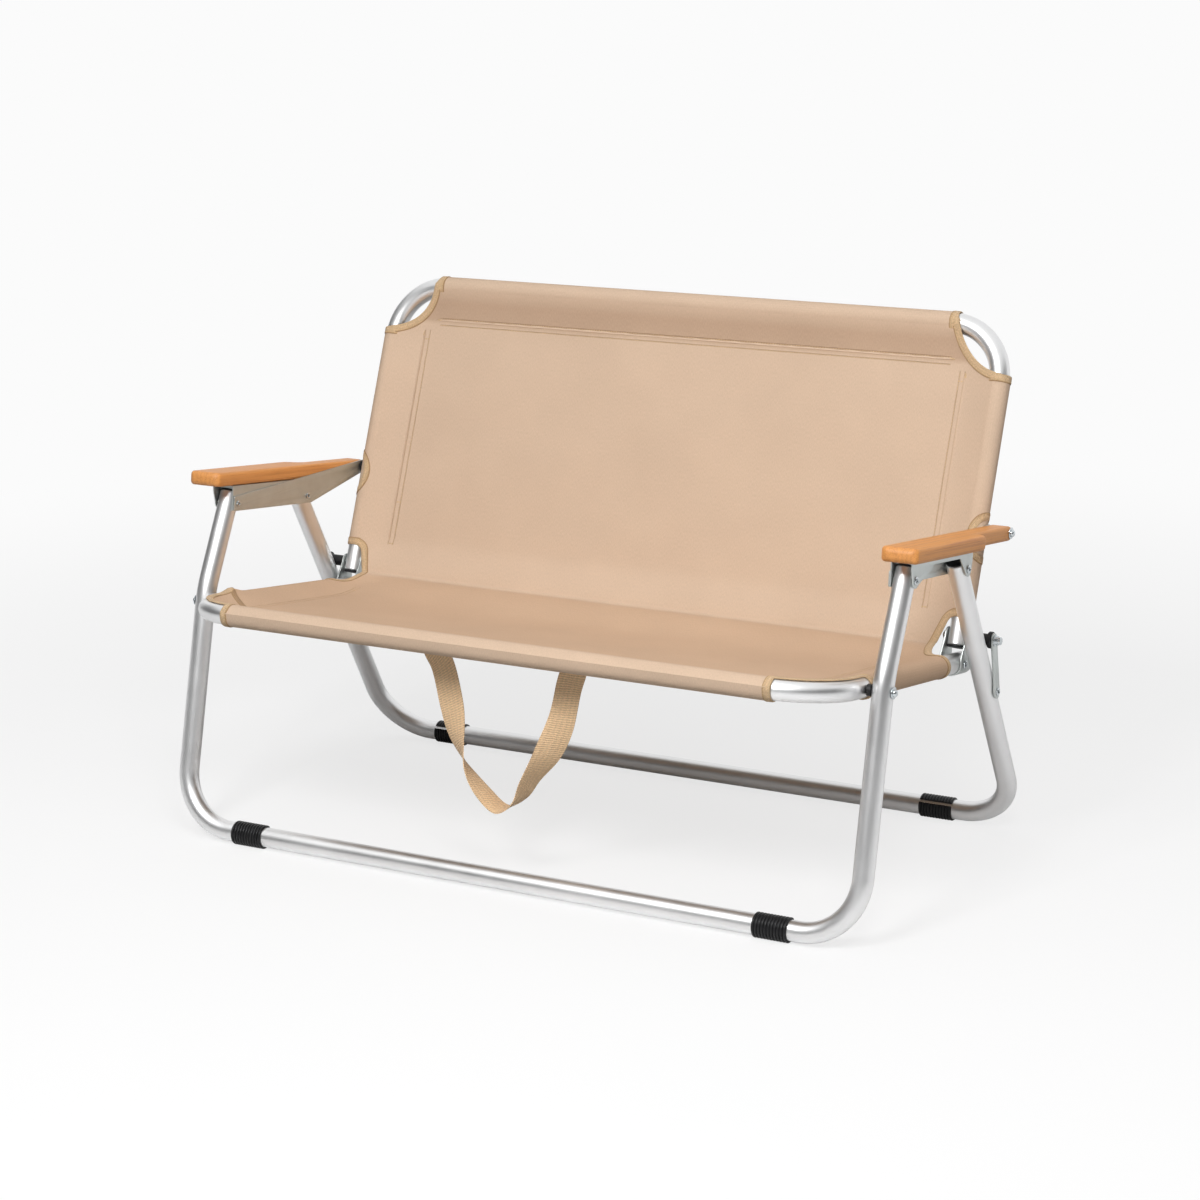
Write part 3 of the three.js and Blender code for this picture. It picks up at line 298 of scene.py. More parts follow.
def cloth_material(name, rows, shaded_zones):
    """Woven cloth, with sewn rows, and zones of painted shade at places in the flat pattern."""
    n = new_material(name)
    flat, across, along = n.flat()
    height = n.calc("MULTIPLY_ADD", n.times(n.wave(across, WEAVE), n.wave(along, WEAVE)), 0.5, 0.5)
    slub = n.noise(flat, (900, 260, 1), 3.0)
    drift = n.noise(flat, (9, 9, 1), 3.0)
    tone = n.calc("MULTIPLY_ADD", slub, 0.7, n.times(drift, 0.3))
    base = n.ramp(tone, (0.34, shade(TAN, 1 - HEATHER)), (0.66, shade(TAN, 1 + HEATHER)))
    base = n.tint(base, n.times(height, 0.1), (0.3, 0.27, 0.24))

    def near(value, centre, inner, outer):
        offset = n.calc("ABSOLUTE", n.calc("SUBTRACT", value, centre * MM))
        return n.span(offset, inner * MM, outer * MM, 1.0, 0.0)

    seam = 0.0
    aside = n.calc("ABSOLUTE", across)
    for lengthwise, row, low, high in rows:
        off, run = (aside, along) if lengthwise else (along, across)
        half = (high - low) / 2
        sewn = n.times(near(off, row, 0.3, 1.3), near(run, (low + high) / 2, half - 1, half + 1))
        seam = n.calc("MAXIMUM", seam, sewn)
    base = n.tint(base, n.times(seam, 0.34), (0.5, 0.36, 0.2))
    # Painted shade: each zone tints the cloth darker, or takes a darker tint off again, between two places
    # along the pattern
    for first, last, colour in shaded_zones:
        share = n.span(along, first * MM, last * MM, interpolation_type="SMOOTHSTEP")
        base = n.tint(base, share, colour)
    groove = n.bump(n.times(seam, -1.0), 0.0009, 0.8, Normal=n.bump(drift, 0.002, 0.16))
    return n.surface({
        "Base Color": base,
        "Roughness": n.ramp(slub, (0.3, grey(0.82)), (0.7, grey(0.95))),
        "Normal": n.bump(height, WEAVE_DEPTH, 0.6, Normal=groove),
        "Sheen Weight": 0.02,
        "Sheen Roughness": 0.4,
        "Specular IOR Level": 0.08,
    })


def webbing_material(name, colour, rib, edge):
    n = new_material(name)
    flat, across, along = n.flat()
    lean = n.times(across, math.tau / (3 * rib))
    twill = n.calc("SINE", n.calc("ADD", n.times(along, math.tau / rib), lean))
    ribs = n.calc("ADD", n.times(n.wave(along, rib), 0.15), n.times(twill, 0.65))
    height = n.calc("ADD", ribs, n.times(n.wave(across, 2 * rib), 0.2))
    # Painted shade and highlight: the tone follows the ribs' height, darker in the grooves and lighter on
    # the crests, with the yarn's random tone added
    tone = n.calc("ADD", n.times(height, 0.26), n.noise(flat, (500, 500, 1), 3.0))
    base = n.ramp(tone, (0.25, shade(colour, 0.74)), (0.75, shade(colour, 1.12)))
    # Painted shadow: the tape's rows at its inner edge, where it steps up off the cloth, are tinted darker
    if edge:
        base = n.tint(base, n.span(across, *edge, 1.0, 0.0), (0.62, 0.54, 0.44))
    return n.surface({
        "Base Color": base,
        "Roughness": 0.9,
        "Normal": n.bump(height, 0.0005, 0.7),
        "Sheen Weight": 0.12,
        "Specular IOR Level": 0.25,
    })


def wood_material(name, light, deep):
    n = new_material(name)
    place = n.place()
    bent = n.noise(place, (10, 1.6, 10), 3.0)
    rings = n.add("Mapping", {"Vector": place, "Scale": (110, 2.4, 110)})
    wobble = n.add("CombineXYZ", {"X": n.times(bent, 9.0), "Z": n.times(bent, 6.0)})
    spread = n.add("VectorMath", {0: rings, 1: wobble}, operation="ADD")
    inputs = {"Vector": spread, "Scale": 0.3, "Distortion": 2.0, "Detail": 3.0, "Detail Scale": 1.4}
    bands = n.add("TexWave", inputs, "Fac", wave_type="BANDS", bands_direction="X")
    pores = n.ramp(n.noise(place, (950, 34, 950), 2.0), (0.57, grey(0.0)), (0.7, grey(1.0)))
    streak = n.noise(place, (520, 3.0, 520), 4.0)
    tone = n.calc("ADD", n.times(bands, 0.14), n.times(streak, 0.86))
    base = n.ramp(tone, (0.28, deep), (0.5, shade(light, 0.92)), (0.72, light))
    return n.surface({
        "Base Color": n.tint(base, n.times(pores, 0.28), (0.5, 0.34, 0.22)),
        "Roughness": n.ramp(streak, (0.2, grey(0.4)), (0.8, grey(0.54))),
        "Normal": n.bump(n.times(pores, -1.0), 0.0002, 0.5),
        "Coat Weight": 0.03,
        "Coat Roughness": 0.35,
    })


looks = {"beech": wood_material("beech", BEECH_LIGHT, BEECH_DEEP)}
for make_look, table in ((metal_material, METALS), (plastic_material, PLASTICS), (webbing_material, WEBS)):
    looks.update({name: make_look(name, *values) for name, values in table.items()})

# Mesh helpers
SHARP = 40.0
SOFT = 60.0
BEND_STEP = 4.0
TUBE_SIDES = 40
TUBE_EDGE = 1.0


def unit(vectors):
    return vectors / np.linalg.norm(vectors, axis=-1, keepdims=True)


def travelled(path):
    """The distance along a path to each of its points."""
    return np.concatenate([[0], np.cumsum(np.linalg.norm(np.diff(path, axis=0), axis=1))])


def new_object(name, data):
    piece = bpy.data.objects.new(name, data)
    bpy.context.scene.collection.objects.link(piece)
    return piece


def make(name, points, faces, look, flat=None, sharp=SHARP):
    mesh = bpy.data.meshes.new(name)
    mesh.from_pydata((np.asarray(points, float) * MM).tolist(), [], [list(map(int, f)) for f in faces])
    if flat is not None:
        layer = mesh.uv_layers.new(name="flat")
        corner = np.zeros(len(mesh.loops), np.int32)
        mesh.loops.foreach_get("vertex_index", corner)
        layer.data.foreach_set("uv", (np.asarray(flat, float)[corner] * MM).ravel())
    mesh.validate()
    mesh.shade_smooth()
    mesh.set_sharp_from_angle(angle=math.radians(sharp))
    mesh.materials.append(looks[look])
    return new_object(name, mesh)


def settle(piece, body, slot, *nodes):
    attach(piece, body)
    if nodes:
        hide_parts(*nodes)
    return piece


def ring_faces(rings, sides, closed=False):
    """Quads between rings of points, and from the last ring to the first where closed."""
    faces = []
    for r in range(rings if closed else rings - 1):
        step = sides if r < rings - 1 else -(rings - 1) * sides
        for k in range(sides):
            a, b = r * sides + k, r * sides + (k + 1) % sides
            faces.append((a, b, b + step, a + step))
    return faces


def capped_faces(rings, sides):
    """The same, with both ends shut."""
    ends = [tuple(range(sides - 1, -1, -1)), tuple(range((rings - 1) * sides, rings * sides))]
    return ring_faces(rings, sides) + ends


def patch_faces(rows, count, closed=False):
    """Quads between rows of points, which run round where closed."""
    faces = []
    for r in range(rows - 1):
        for k in range(count if closed else count - 1):
            a, b = r * count + k, r * count + (k + 1) % count
            faces.append((a, a + count, b + count, b))
    return faces


def flipped(faces):
    return [face[::-1] for face in faces]


def bent_path(corners, radii):
    """Points along straight runs, with each corner between them bent to its radius."""
    corners = [np.array(c, float) for c in corners]
    path = [corners[0]]
    for before, corner, after, radius in zip(corners, corners[1:], corners[2:], radii):
        into, out = unit(corner - before), unit(after - corner)
        angle = math.acos(np.clip(into @ out, -1, 1))
        inward = unit(out - into * (out @ into))
        centre = corner - into * radius * math.tan(angle / 2) + inward * radius
        for a in np.linspace(0, angle, math.ceil(math.degrees(angle) / BEND_STEP) + 1):
            path.append(centre - inward * radius * math.cos(a) + into * radius * math.sin(a))
    return np.array(path + [corners[-1]])


def tube(name, side_corners, radii, place, node):
    """A tube bent through one side's corners and their mirror images, with eased ends."""
    corners = side_corners + [(-x, y, z) for x, y, z in reversed(side_corners)]
    path = bent_path(corners, radii)
    heading = unit(np.diff(path, axis=0))
    tangents = unit(np.vstack([heading[:1], heading[1:] + heading[:-1], heading[-1:]]))
    eased_ends = [path[0] + tangents[0] * TUBE_EDGE, path[-1] - tangents[-1] * TUBE_EDGE]
    centres = np.vstack([path[0], eased_ends[0], path[1:-1], eased_ends[1], path[-1]])
    widths = [TUBE_R - TUBE_EDGE] + [TUBE_R] * len(path) + [TUBE_R - TUBE_EDGE]
    tangents = tangents[[0, *range(len(path)), -1]]
    side = np.cross(tangents[0], (1.0, 1.0, 1.0))
    angles = np.linspace(0, math.tau, TUBE_SIDES, endpoint=False)
    points = []
    for centre, tangent, radius in zip(centres, tangents, widths):
        side = unit(side - tangent * (side @ tangent))
        across = np.cross(tangent, side)
        points += [centre + radius * (math.cos(a) * side + math.sin(a) * across) for a in angles]
    faces = capped_faces(len(centres), TUBE_SIDES)
    settle(make(name, place(points), faces, "aluminium_tube"), place.body, "aluminium_tube", node)


front_top = upward(arm_front, UPPER_LEAN, FRONT_TOP) - front_bar
seat_side = [(SIDE_X, SEAT_REAR, 0), (SIDE_X, -SEAT_FRONT, 0)]
back_side = [(SIDE_X, 0, -BACK_LOW), (SIDE_X, 0, BACK_TOP)]
front_side = [(LEG_X, *front_top), (LEG_X, *(kink - front_bar)), (LEG_X, 0, 0)]
rear_side = [(LEG_X, 0, REAR_LENGTH + REAR_TOP), (LEG_X, 0, 0)]
front_radii = [KINK_R, BEND_R, BEND_R, KINK_R]
tube("tube_seat", seat_side, [BEND_R] * 2, SEAT, "seat_frame")
tube("tube_back", back_side, [BEND_R] * 2, BACK, "back_frame")
tube("tube_front_legs", front_side, front_radii, FRONT, "front_leg_frame")
tube("tube_rear_legs", rear_side, [BEND_R] * 2, REAR, "rear_leg_frame")

# The sling's flat pattern: a is the distance across from the middle, b along from the front bar's top
CLOTH = 1.0
SLACK = 0.1
WRAP_R = TUBE_R + CLEAR + SLACK + CLOTH / 2
SEAM = 52.0
SEAM_X = SIDE_X - SEAM
DROP = 14.0
SEAM_LAP = 1.6
SEAM_DEPTH = WRAP_R - DROP - SEAM_LAP
SLEEVE_END = 419.0
SEAT_SLEEVE = (12.0, 268.0)
BACK_SLEEVE = (26.0, 360.0)
CREASE_HALF = 464.0
CREASE_LOW = 16.4
CREASE_SPAN = 6.0
CREASE_SAMPLES = 9
NORMAL_STEP = 0.5
SEAT_SAG = 3.0
BACK_SAG = 2.0
HOLLOW = 0.22
BACK_DIP = 1.25
SEAM_EASE = (0.04, 6.0)
SEAT_DIP_END = 200.0
BACK_DIP_START = 45.0
RISE_EDGE = (380.0, SEAM_X + 10)
RISE_START = 134.0
FOLD_ANGLE = math.radians(74.7)
FOLD_HALF = math.radians(27)
CORNER_LIFT = 6.0
LIFT_AT = (494.0, 14.0)
LIFT_SPREAD = (13.0, 18.0)

# Sewn rows, the tacks across them, and painted shade: a darker tint on the back's hollow band below its top
# sleeve, and a darker, warmer tint on the seat
TOP_ROWS = (381.5, 371.5)
FRONT_ROWS = (-46.0, -37.0)
SIDE_ROWS = (430.0, 438.0)
ROW_END = 414.0
BACK_ROW = (32.0, 363.0)
SEAT_ROW = (-28.0, 254.0)
BACK_TACKS = (349.0, 98.0, 34.0)
SEAT_TACKS = (240.0,)
# Painted shade in the back's hollow band, between the top rows and the sleeve's ridge, taken off again
# towards the ridge
HOLLOW_SHADE = (0.82, 0.775, 0.745)
HOLLOW_SHADE_END = (402.0, 428.0)
# Painted shade on the seat, darker and warmer than the back, from the crease forward and taken off again
# over the front sleeve
SEAT_SHADE = (0.97, 0.91, 0.85)
SEAT_TURN = (4.0, -20.0)
SEAT_FADE = (30.0, 0.0)

# Waves of the cloth: paces across and along, phase and height
WAVES = [
    (0.0187, 0.0102, 0.4, 0.7),
    (0.0323, -0.0221, 1.9, 0.45),
    (-0.0119, 0.0459, 3.1, 0.4),
    (0.0578, 0.0357, 5.0, 0.2),
]
WAVE_SIDE = (-6.0, 60.0)
WAVE_END = (30.0, 110.0)
CREASE_CALM = (0.75, 40.0)
# Puckers of a seam: height, spread, pace, sway and its pace
PUCKER_TOP = (0.3, 16.0, 0.21, 1.2, 0.037)
PUCKER_SIDE = (0.25, 14.0, 0.2, 1.0, 0.041)
PUCKER_END = 60.0

tangent_angle = math.atan2(SEAM_DEPTH, -SEAM) + math.acos(WRAP_R / math.hypot(SEAM, SEAM_DEPTH))
WRAP_ANGLE = 2.5 * math.pi - tangent_angle
WRAP_ARC = WRAP_R * WRAP_ANGLE
arc_end = WRAP_R * np.array([math.sin(WRAP_ANGLE), math.cos(WRAP_ANGLE)])
wrap_run = np.array([-SEAM, SEAM_DEPTH]) - arc_end
WRAP_RUN = float(np.linalg.norm(wrap_run))
WRAP = WRAP_ARC + WRAP_RUN
crease_turn = turn((-WRAP_R, -CREASE_LOW), SEAT_SLOPE - RECLINE)
CREASE_U = HINGE_REACH + crease_turn[0]
CREASE_V = HINGE_RISE + crease_turn[1]
B_FOLD = -WRAP_R * FOLD_ANGLE
B_CREASE = CREASE_U + SEAT_FRONT
B_TOP = B_CREASE + CREASE_LOW + BACK_TOP
B_FIRST = -WRAP
B_LAST = B_TOP + WRAP
A_LAST = SIDE_X + WRAP
fall = WRAP_R - DROP
LEAVE = math.pi / 2 - math.atan2(fall, SEAM) - math.acos(WRAP_R / math.hypot(SEAM, fall))
TOUCH = WRAP_R * math.sin(LEAVE)


def seat_b(u):
    return u + SEAT_FRONT


def back_b(s):
    return B_CREASE + CREASE_LOW + s


def inverse(tint):
    return tuple(1 / c for c in tint)


seam_rows = [(False, back_b(s), -ROW_END, ROW_END) for s in TOP_ROWS]
seam_rows += [(False, seat_b(u), -ROW_END, ROW_END) for u in FRONT_ROWS]
for side_row in SIDE_ROWS:
    seam_rows.append((True, side_row, *map(back_b, BACK_ROW)))
    seam_rows.append((True, side_row, *map(seat_b, SEAT_ROW)))
# Painted shade: the seat and the back's hollow band are tinted darker, each with a zone that takes the tint
# off again
cloth_shaded_zones = [
    (B_CREASE + SEAT_TURN[0], B_CREASE + SEAT_TURN[1], SEAT_SHADE),
    (*SEAT_FADE, inverse(SEAT_SHADE)),
    (back_b(TOP_ROWS[1]), back_b(TOP_ROWS[0]), HOLLOW_SHADE),
    (*map(back_b, HOLLOW_SHADE_END), inverse(HOLLOW_SHADE)),
]
looks["sling_fabric"] = cloth_material("sling_fabric", seam_rows, cloth_shaded_zones)


def smooth(x, low, high):
    t = np.clip((np.asarray(x, float) - low) / (high - low), 0, 1)
    return t * t * (3 - 2 * t)


def bell(x, spread):
    return np.exp(-((x / spread) ** 2))


def wrap(distance):
    """How far out from the tube's axis and above it, for a distance round it from its top."""
    angle = np.clip(distance / WRAP_R, 0, WRAP_ANGLE)
    run = np.clip((distance - WRAP_ARC) / WRAP_RUN, 0, 1)
    return WRAP_R * np.sin(angle) + wrap_run[0] * run, WRAP_R * np.cos(angle) + wrap_run[1] * run


def fold(distance):
    """How much the cloth's pressed fold stands off the front bar, for a distance round it from its top."""
    return 1 / np.cos(np.clip(FOLD_HALF - np.abs(distance / WRAP_R - FOLD_ANGLE), 0, None))


def sag(x, share):
    return np.clip(1 - (x / SEAM_X) ** 2, 0, 1) * np.sin(np.pi * np.clip(share, 0, 1))


def pucker(away, along, height, spread, pace, sway, slow):
    """Small gathers of a seam, for the distances from it and along it."""
    return height * bell(away, spread) * np.sin(along * pace + sway * np.sin(along * slow))


def ripple(a, b):
    """Soft waves of the cloth, and puckers that fade away from the sewn seams."""
    half = np.abs(a)
    waves = sum(size * np.sin(a * fa + b * fb + phase) for fa, fb, phase, size in WAVES)
    waves *= smooth(SEAM_X - half, *WAVE_SIDE) * smooth(b, *WAVE_END) * smooth(B_TOP - b, *WAVE_END)
    waves *= 1 - CREASE_CALM[0] * bell(b - B_CREASE, CREASE_CALM[1])
    top = pucker(b - back_b(BACK_TOP - SEAM), a, *PUCKER_TOP) * (half < SEAM_X)
    side = pucker(half - SEAM_X, b, *PUCKER_SIDE) * (b > PUCKER_END) * (b < B_TOP - PUCKER_END)
    return waves + top + side


def frame_inset(half, along):
    """Distance in from the tubes' centre line, for those out from the middle and in from the bar."""
    side, end = half - (SIDE_X - BEND_R), BEND_R - along
    rounded = BEND_R - np.hypot(np.maximum(side, 0), np.maximum(end, 0))
    return np.where((side > 0) & (end > 0), rounded, np.minimum(SIDE_X - half, along))


def dip(inset):
    """How far the cloth falls from the tube's top to the seam, which the pull draws level with the tube."""
    held = WRAP_R * (1 - np.sqrt(1 - (np.clip(inset, 0, TOUCH) / WRAP_R) ** 2))
    first = WRAP_R * (1 - math.cos(LEAVE))
    share = np.clip((inset - TOUCH) / (SEAM - TOUCH), 0, 1)
    eased_end = SEAM_EASE[0] * bell(inset - SEAM, SEAM_EASE[1])
    return held + (DROP - first) * (share + HOLLOW * share * (1 - share) - eased_end)


def sling(a, b):
    """Points of the cloth's middle layer from their places in the flat pattern."""
    half = np.abs(a)
    out, up = wrap(half - SIDE_X)
    x = np.where(half < SIDE_X, half, SIDE_X + out)
    up = np.where(half < SIDE_X, WRAP_R, up)
    u = b - SEAT_FRONT
    s = b - B_CREASE - CREASE_LOW
    wave = ripple(a, b)
    edge = smooth(half, *RISE_EDGE)
    rise = (1 - edge) * smooth(u, RISE_START, CREASE_U) + edge * smooth(u, SEAT_SLEEVE[1], CREASE_U)
    rise *= CREASE_V - WRAP_R
    seat_sag = SEAT_SAG * sag(half, (b - SEAM) / (B_CREASE - SEAM))
    seat_sag += dip(frame_inset(half, b)) * (1 - smooth(u, SEAT_DIP_END, CREASE_U))
    lift = bell(half - LIFT_AT[0], LIFT_SPREAD[0]) * bell(u - LIFT_AT[1], LIFT_SPREAD[1])
    seat_sag -= (a < 0) * CORNER_LIFT * lift
    back_sag = BACK_SAG * sag(half, (s + CREASE_LOW) / (BACK_TOP - SEAM + CREASE_LOW))
    back_dip = dip(frame_inset(half, B_TOP - b)) * smooth(s, -CREASE_LOW, BACK_DIP_START)
    back_sag += BACK_DIP * back_dip
    seat_point = SEAT(np.stack([x, u, up + rise - seat_sag + wave], 1))
    back_point = BACK(np.stack([x, back_sag - up - wave, s], 1))
    front_out, front_up = (part * fold(-b) for part in wrap(-b))
    front_point = SEAT(np.stack([half, -SEAT_FRONT - front_out, front_up], 1))
    top_out, top_up = wrap(b - B_TOP)
    top_point = BACK(np.stack([half, -top_up, BACK_TOP + top_out], 1))
    regions = [(b < 0)[:, None], (b < B_CREASE)[:, None], (b <= B_TOP)[:, None]]
    points = np.select(regions, [front_point, seat_point, back_point], top_point)
    points[:, 0] *= np.where(a < 0, -1.0, 1.0)
    return points


def rounded_sling(a, b):
    """The same, with the crease between seat and back eased into a curve."""
    points = sling(a, b)
    room = CREASE_SPAN - np.abs(b - B_CREASE)
    near = room > 0
    if near.any():
        spread = room[near][:, None] * np.linspace(-1, 1, CREASE_SAMPLES)
        many = sling(np.repeat(a[near], CREASE_SAMPLES), (b[near][:, None] + spread).ravel())
        points[near] = many.reshape(-1, CREASE_SAMPLES, 3).mean(1)
    return points


def on_cloth(spots, lift):
    """Points lifted off the cloth's middle layer, for places in the flat pattern."""
    a, b = spots.T
    across = rounded_sling(a + NORMAL_STEP, b) - rounded_sling(a - NORMAL_STEP, b)
    along = rounded_sling(a, b + NORMAL_STEP) - rounded_sling(a, b - NORMAL_STEP)
    return rounded_sling(a, b) + unit(np.cross(across, along)) * lift


# Edges of the cut-outs: turning points as distances across, or with a place along the seat or back
CUT = 4.0
SEAM_STEP = 12.0
LIP_R = BEND_R + 3.0
LIP_TURN = (502.0, 4.0)
HINGE_SEAT_TURN = 490.0
HINGE_SEAT_BOW = (466.0, 270.0)
HINGE_BACK_FOOT = (474.0, 16.0)
HINGE_BACK_BOW = 477.0
HINGE_BACK_TURN = 488.0
TOP_TURN = 494.0
TOP_CENTRE = (505.0, 442.0)
TOP_CUT_R = 82.0
TOP_SWEEP = (262.3, 187.4)
TOP_BOW = (423.7, 431.4)
TOP_BOW_MIDDLE = 436.0
TOP_BOW_END = 448.0
NOTCH_S = 136.0
NOTCH_HALF = (20.0, 26.0)
NOTCH_STEPS = 48
MIRROR = np.array([-1.0, 1.0])


def arc(centre, radius, first, last, steps):
    angles = np.radians(np.linspace(first, last, steps + 1))
    return [(centre[0] + radius * math.cos(t), centre[1] + radius * math.sin(t)) for t in angles]


def line(start, end, step=CUT):
    """Points along a straight run, without its end."""
    count = max(1, math.ceil(math.dist(start, end) / step))
    return [tuple(np.array(start) + (np.array(end) - np.array(start)) * k / count) for k in range(count)]


def curve(start, middle, end, steps):
    t = np.linspace(0, 1, steps + 1)[:, None]
    points = (1 - t) ** 2 * np.array(start) + 2 * t * (1 - t) * np.array(middle) + t**2 * np.array(end)
    return [tuple(p) for p in points]


def on_seat(point):
    return point[0], seat_b(point[1])


def on_back(point):
    return point[0], back_b(point[1])


seat_low, seat_high = map(seat_b, SEAT_SLEEVE)
back_low, back_high = map(back_b, BACK_SLEEVE)
bend_centre = (SIDE_X - BEND_R, BEND_R)
lip_start = -math.degrees(math.acos((SLEEVE_END - bend_centre[0]) / LIP_R))
lip_first = bend_centre[1] + LIP_R * math.sin(math.radians(lip_start))
lip_last = bend_centre[0] + LIP_R
lip_turn = (lip_last, seat_b(LIP_TURN[1]))
lip_end = (LIP_TURN[0], seat_low)
front_run = line((SLEEVE_END, B_FIRST), (SLEEVE_END, lip_first))
front_run += arc(bend_centre, LIP_R, lip_start, 0, steps=30)
front_run += line((lip_last, BEND_R), lip_turn)[1:]
front_run += curve(lip_turn, (lip_last, seat_low), lip_end, steps=5)
front_run += line(lip_end, (A_LAST, seat_low))[1:] + [(A_LAST, seat_low)]

hinge_start = (HINGE_SEAT_TURN, seat_high)
hinge_crease = (CREASE_HALF, B_CREASE)
hinge_foot = on_back(HINGE_BACK_FOOT)
hinge_end = (HINGE_BACK_TURN, back_low)
hinge_run = line((A_LAST, seat_high), hinge_start)
hinge_run += curve(hinge_start, on_seat(HINGE_SEAT_BOW), hinge_crease, steps=14)
hinge_run += line(hinge_crease, hinge_foot)[1:]
hinge_run += curve(hinge_foot, (HINGE_BACK_BOW, back_low), hinge_end, steps=8)
hinge_run += line(hinge_end, (A_LAST, back_low))[1:] + [(A_LAST, back_low)]

bow_middle = (SLEEVE_END, back_b(TOP_BOW_MIDDLE))
bow_end = (SLEEVE_END, back_b(TOP_BOW_END))
top_run = line((A_LAST, back_high), (TOP_TURN, back_high))
top_run += arc(on_back(TOP_CENTRE), TOP_CUT_R, *TOP_SWEEP, steps=24)
top_run += curve(on_back(TOP_BOW), bow_middle, bow_end, steps=4)[1:-1]
top_run += line(bow_end, (SLEEVE_END, B_LAST)) + [(SLEEVE_END, B_LAST)]

right_half = line((0, B_FIRST), (SLEEVE_END, B_FIRST), SEAM_STEP) + front_run
right_half += line((A_LAST, seat_low), (A_LAST, seat_high), SEAM_STEP)[1:] + hinge_run
right_half += line((A_LAST, back_low), (A_LAST, back_high), SEAM_STEP)[1:] + top_run
right_half += line((SLEEVE_END, B_LAST), (0, B_LAST), SEAM_STEP)[1:]
left_half = [(-a, b) for a, b in reversed(right_half) if a > 0]
outline = np.array(right_half + [(0.0, B_LAST)] + left_half)
notch_angles = np.linspace(0, math.tau, NOTCH_STEPS, endpoint=False)
notch_ring = np.stack([np.cos(notch_angles), np.sin(notch_angles)], 1) * NOTCH_HALF
notch = notch_ring + (SIDE_X + WRAP_R * math.pi / 2, back_b(NOTCH_S))
loops = [outline, notch, notch * MIRROR]

# The cloth's mesh: a grid within the edges, finer round the tubes, at the fold and at the crease
FINE = 3.6
WIDE = 9.0
RUN_STEP = 8.0
TUBE_MARGIN = 4.0
FOLD_BAND, FOLD_STEP = 2.4, 1.2
CREASE_BAND, CREASE_STEP = 24.0, 2.0
EDGE_GAP = 2.2
TINY = 1e-9
WELD_2D = 1e-4
CLOTH_SHARP = 50.0


def inside(points, loop):
    a, b = points[:, :1], points[:, 1:]
    first, second = loop, np.roll(loop, -1, axis=0)
    rising = (first[:, 1] > b) != (second[:, 1] > b)
    rise = np.where(second[:, 1] == first[:, 1], TINY, second[:, 1] - first[:, 1])
    slope = (second[:, 0] - first[:, 0]) / rise
    crosses = rising & (a < first[:, 0] + (b - first[:, 1]) * slope)
    return crosses.sum(1) % 2 == 1


def on_sheet(points):
    return inside(points, loops[0]) & ~inside(points, loops[1]) & ~inside(points, loops[2])


def clear_of(points, loop):
    run = np.roll(loop, -1, axis=0) - loop
    share = ((points[:, None] - loop) * run).sum(2) / np.maximum((run**2).sum(1), TINY)
    nearest = loop + np.clip(share, 0, 1)[..., None] * run
    return np.linalg.norm(points[:, None] - nearest, axis=2).min(1) > EDGE_GAP


def spaced(start, *stops):
    """Levels from a start to each stop in turn, at about the stop's own step."""
    levels = []
    for end, step in stops:
        levels += list(np.linspace(start, end, max(1, round((end - start) / step)), endpoint=False))
        start = end
    return np.array(levels + [start])


def twice_area(spots, triangles):
    one, two = (spots[triangles[:, k]] - spots[triangles[:, 0]] for k in (1, 2))
    return one[:, 0] * two[:, 1] - one[:, 1] * two[:, 0]


def flat_mesh():
    """The flat pattern's points, and its triangles, all turned the same way."""
    right = spaced(0, (SIDE_X - TUBE_MARGIN, WIDE), (SIDE_X + WRAP_ARC, FINE), (A_LAST, RUN_STEP))
    levels_b = spaced(
        B_FIRST,
        (-WRAP_ARC, RUN_STEP),
        (B_FOLD - FOLD_BAND, FINE),
        (B_FOLD + FOLD_BAND, FOLD_STEP),
        (TUBE_MARGIN, FINE),
        (B_CREASE - CREASE_BAND, WIDE),
        (B_CREASE, CREASE_STEP),
        (B_CREASE + CREASE_BAND, CREASE_STEP),
        (B_TOP - TUBE_MARGIN, WIDE),
        (B_TOP + WRAP_ARC, FINE),
        (B_LAST, RUN_STEP),
    )
    levels_a = np.concatenate([-right[:0:-1], right])
    grid = np.stack(np.meshgrid(levels_a, levels_b), -1).reshape(-1, 2)
    grid = grid[on_sheet(grid)]
    edges, start = [], 0
    for loop in loops:
        grid = grid[clear_of(grid, loop)]
        edges += [(start + k, start + (k + 1) % len(loop)) for k in range(len(loop))]
        start += len(loop)
    points = [Vector(p) for p in np.vstack(loops + [grid])]
    found = geometry.delaunay_2d_cdt(points, edges, [], 0, WELD_2D)
    spots = np.array([tuple(v) for v in found[0]])
    triangles = np.array(found[2])
    triangles = triangles[on_sheet(spots[triangles].mean(1))]
    backward = twice_area(spots, triangles) < 0
    triangles[backward] = triangles[backward][:, ::-1]
    return spots, triangles


pattern, triangles = flat_mesh()
count = len(pattern)
sides_of = {(int(t[k]), int(t[(k + 1) % 3])): None for t in triangles for k in range(3)}
rim = [(i, j) for i, j in sides_of if (j, i) not in sides_of]
layers = np.vstack([on_cloth(pattern, CLOTH / 2), on_cloth(pattern, -CLOTH / 2)])
faces = [tuple(t) for t in triangles] + [tuple(t[::-1] + count) for t in triangles]
faces += [(j, i, i + count, j + count) for i, j in rim]
sling_piece = make("sling_cloth", layers, faces, "sling_fabric", np.vstack([pattern] * 2), CLOTH_SHARP)

# The crease's point, and the cloth's pieces, with their placing baked into their points
crease_row = SEAT([(0, CREASE_U, CREASE_V)])[0] * MM


def cross_joint(piece):
    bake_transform(piece)
    return piece


cross_joint(sling_piece)
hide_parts("seat_fabric", "back_fabric")

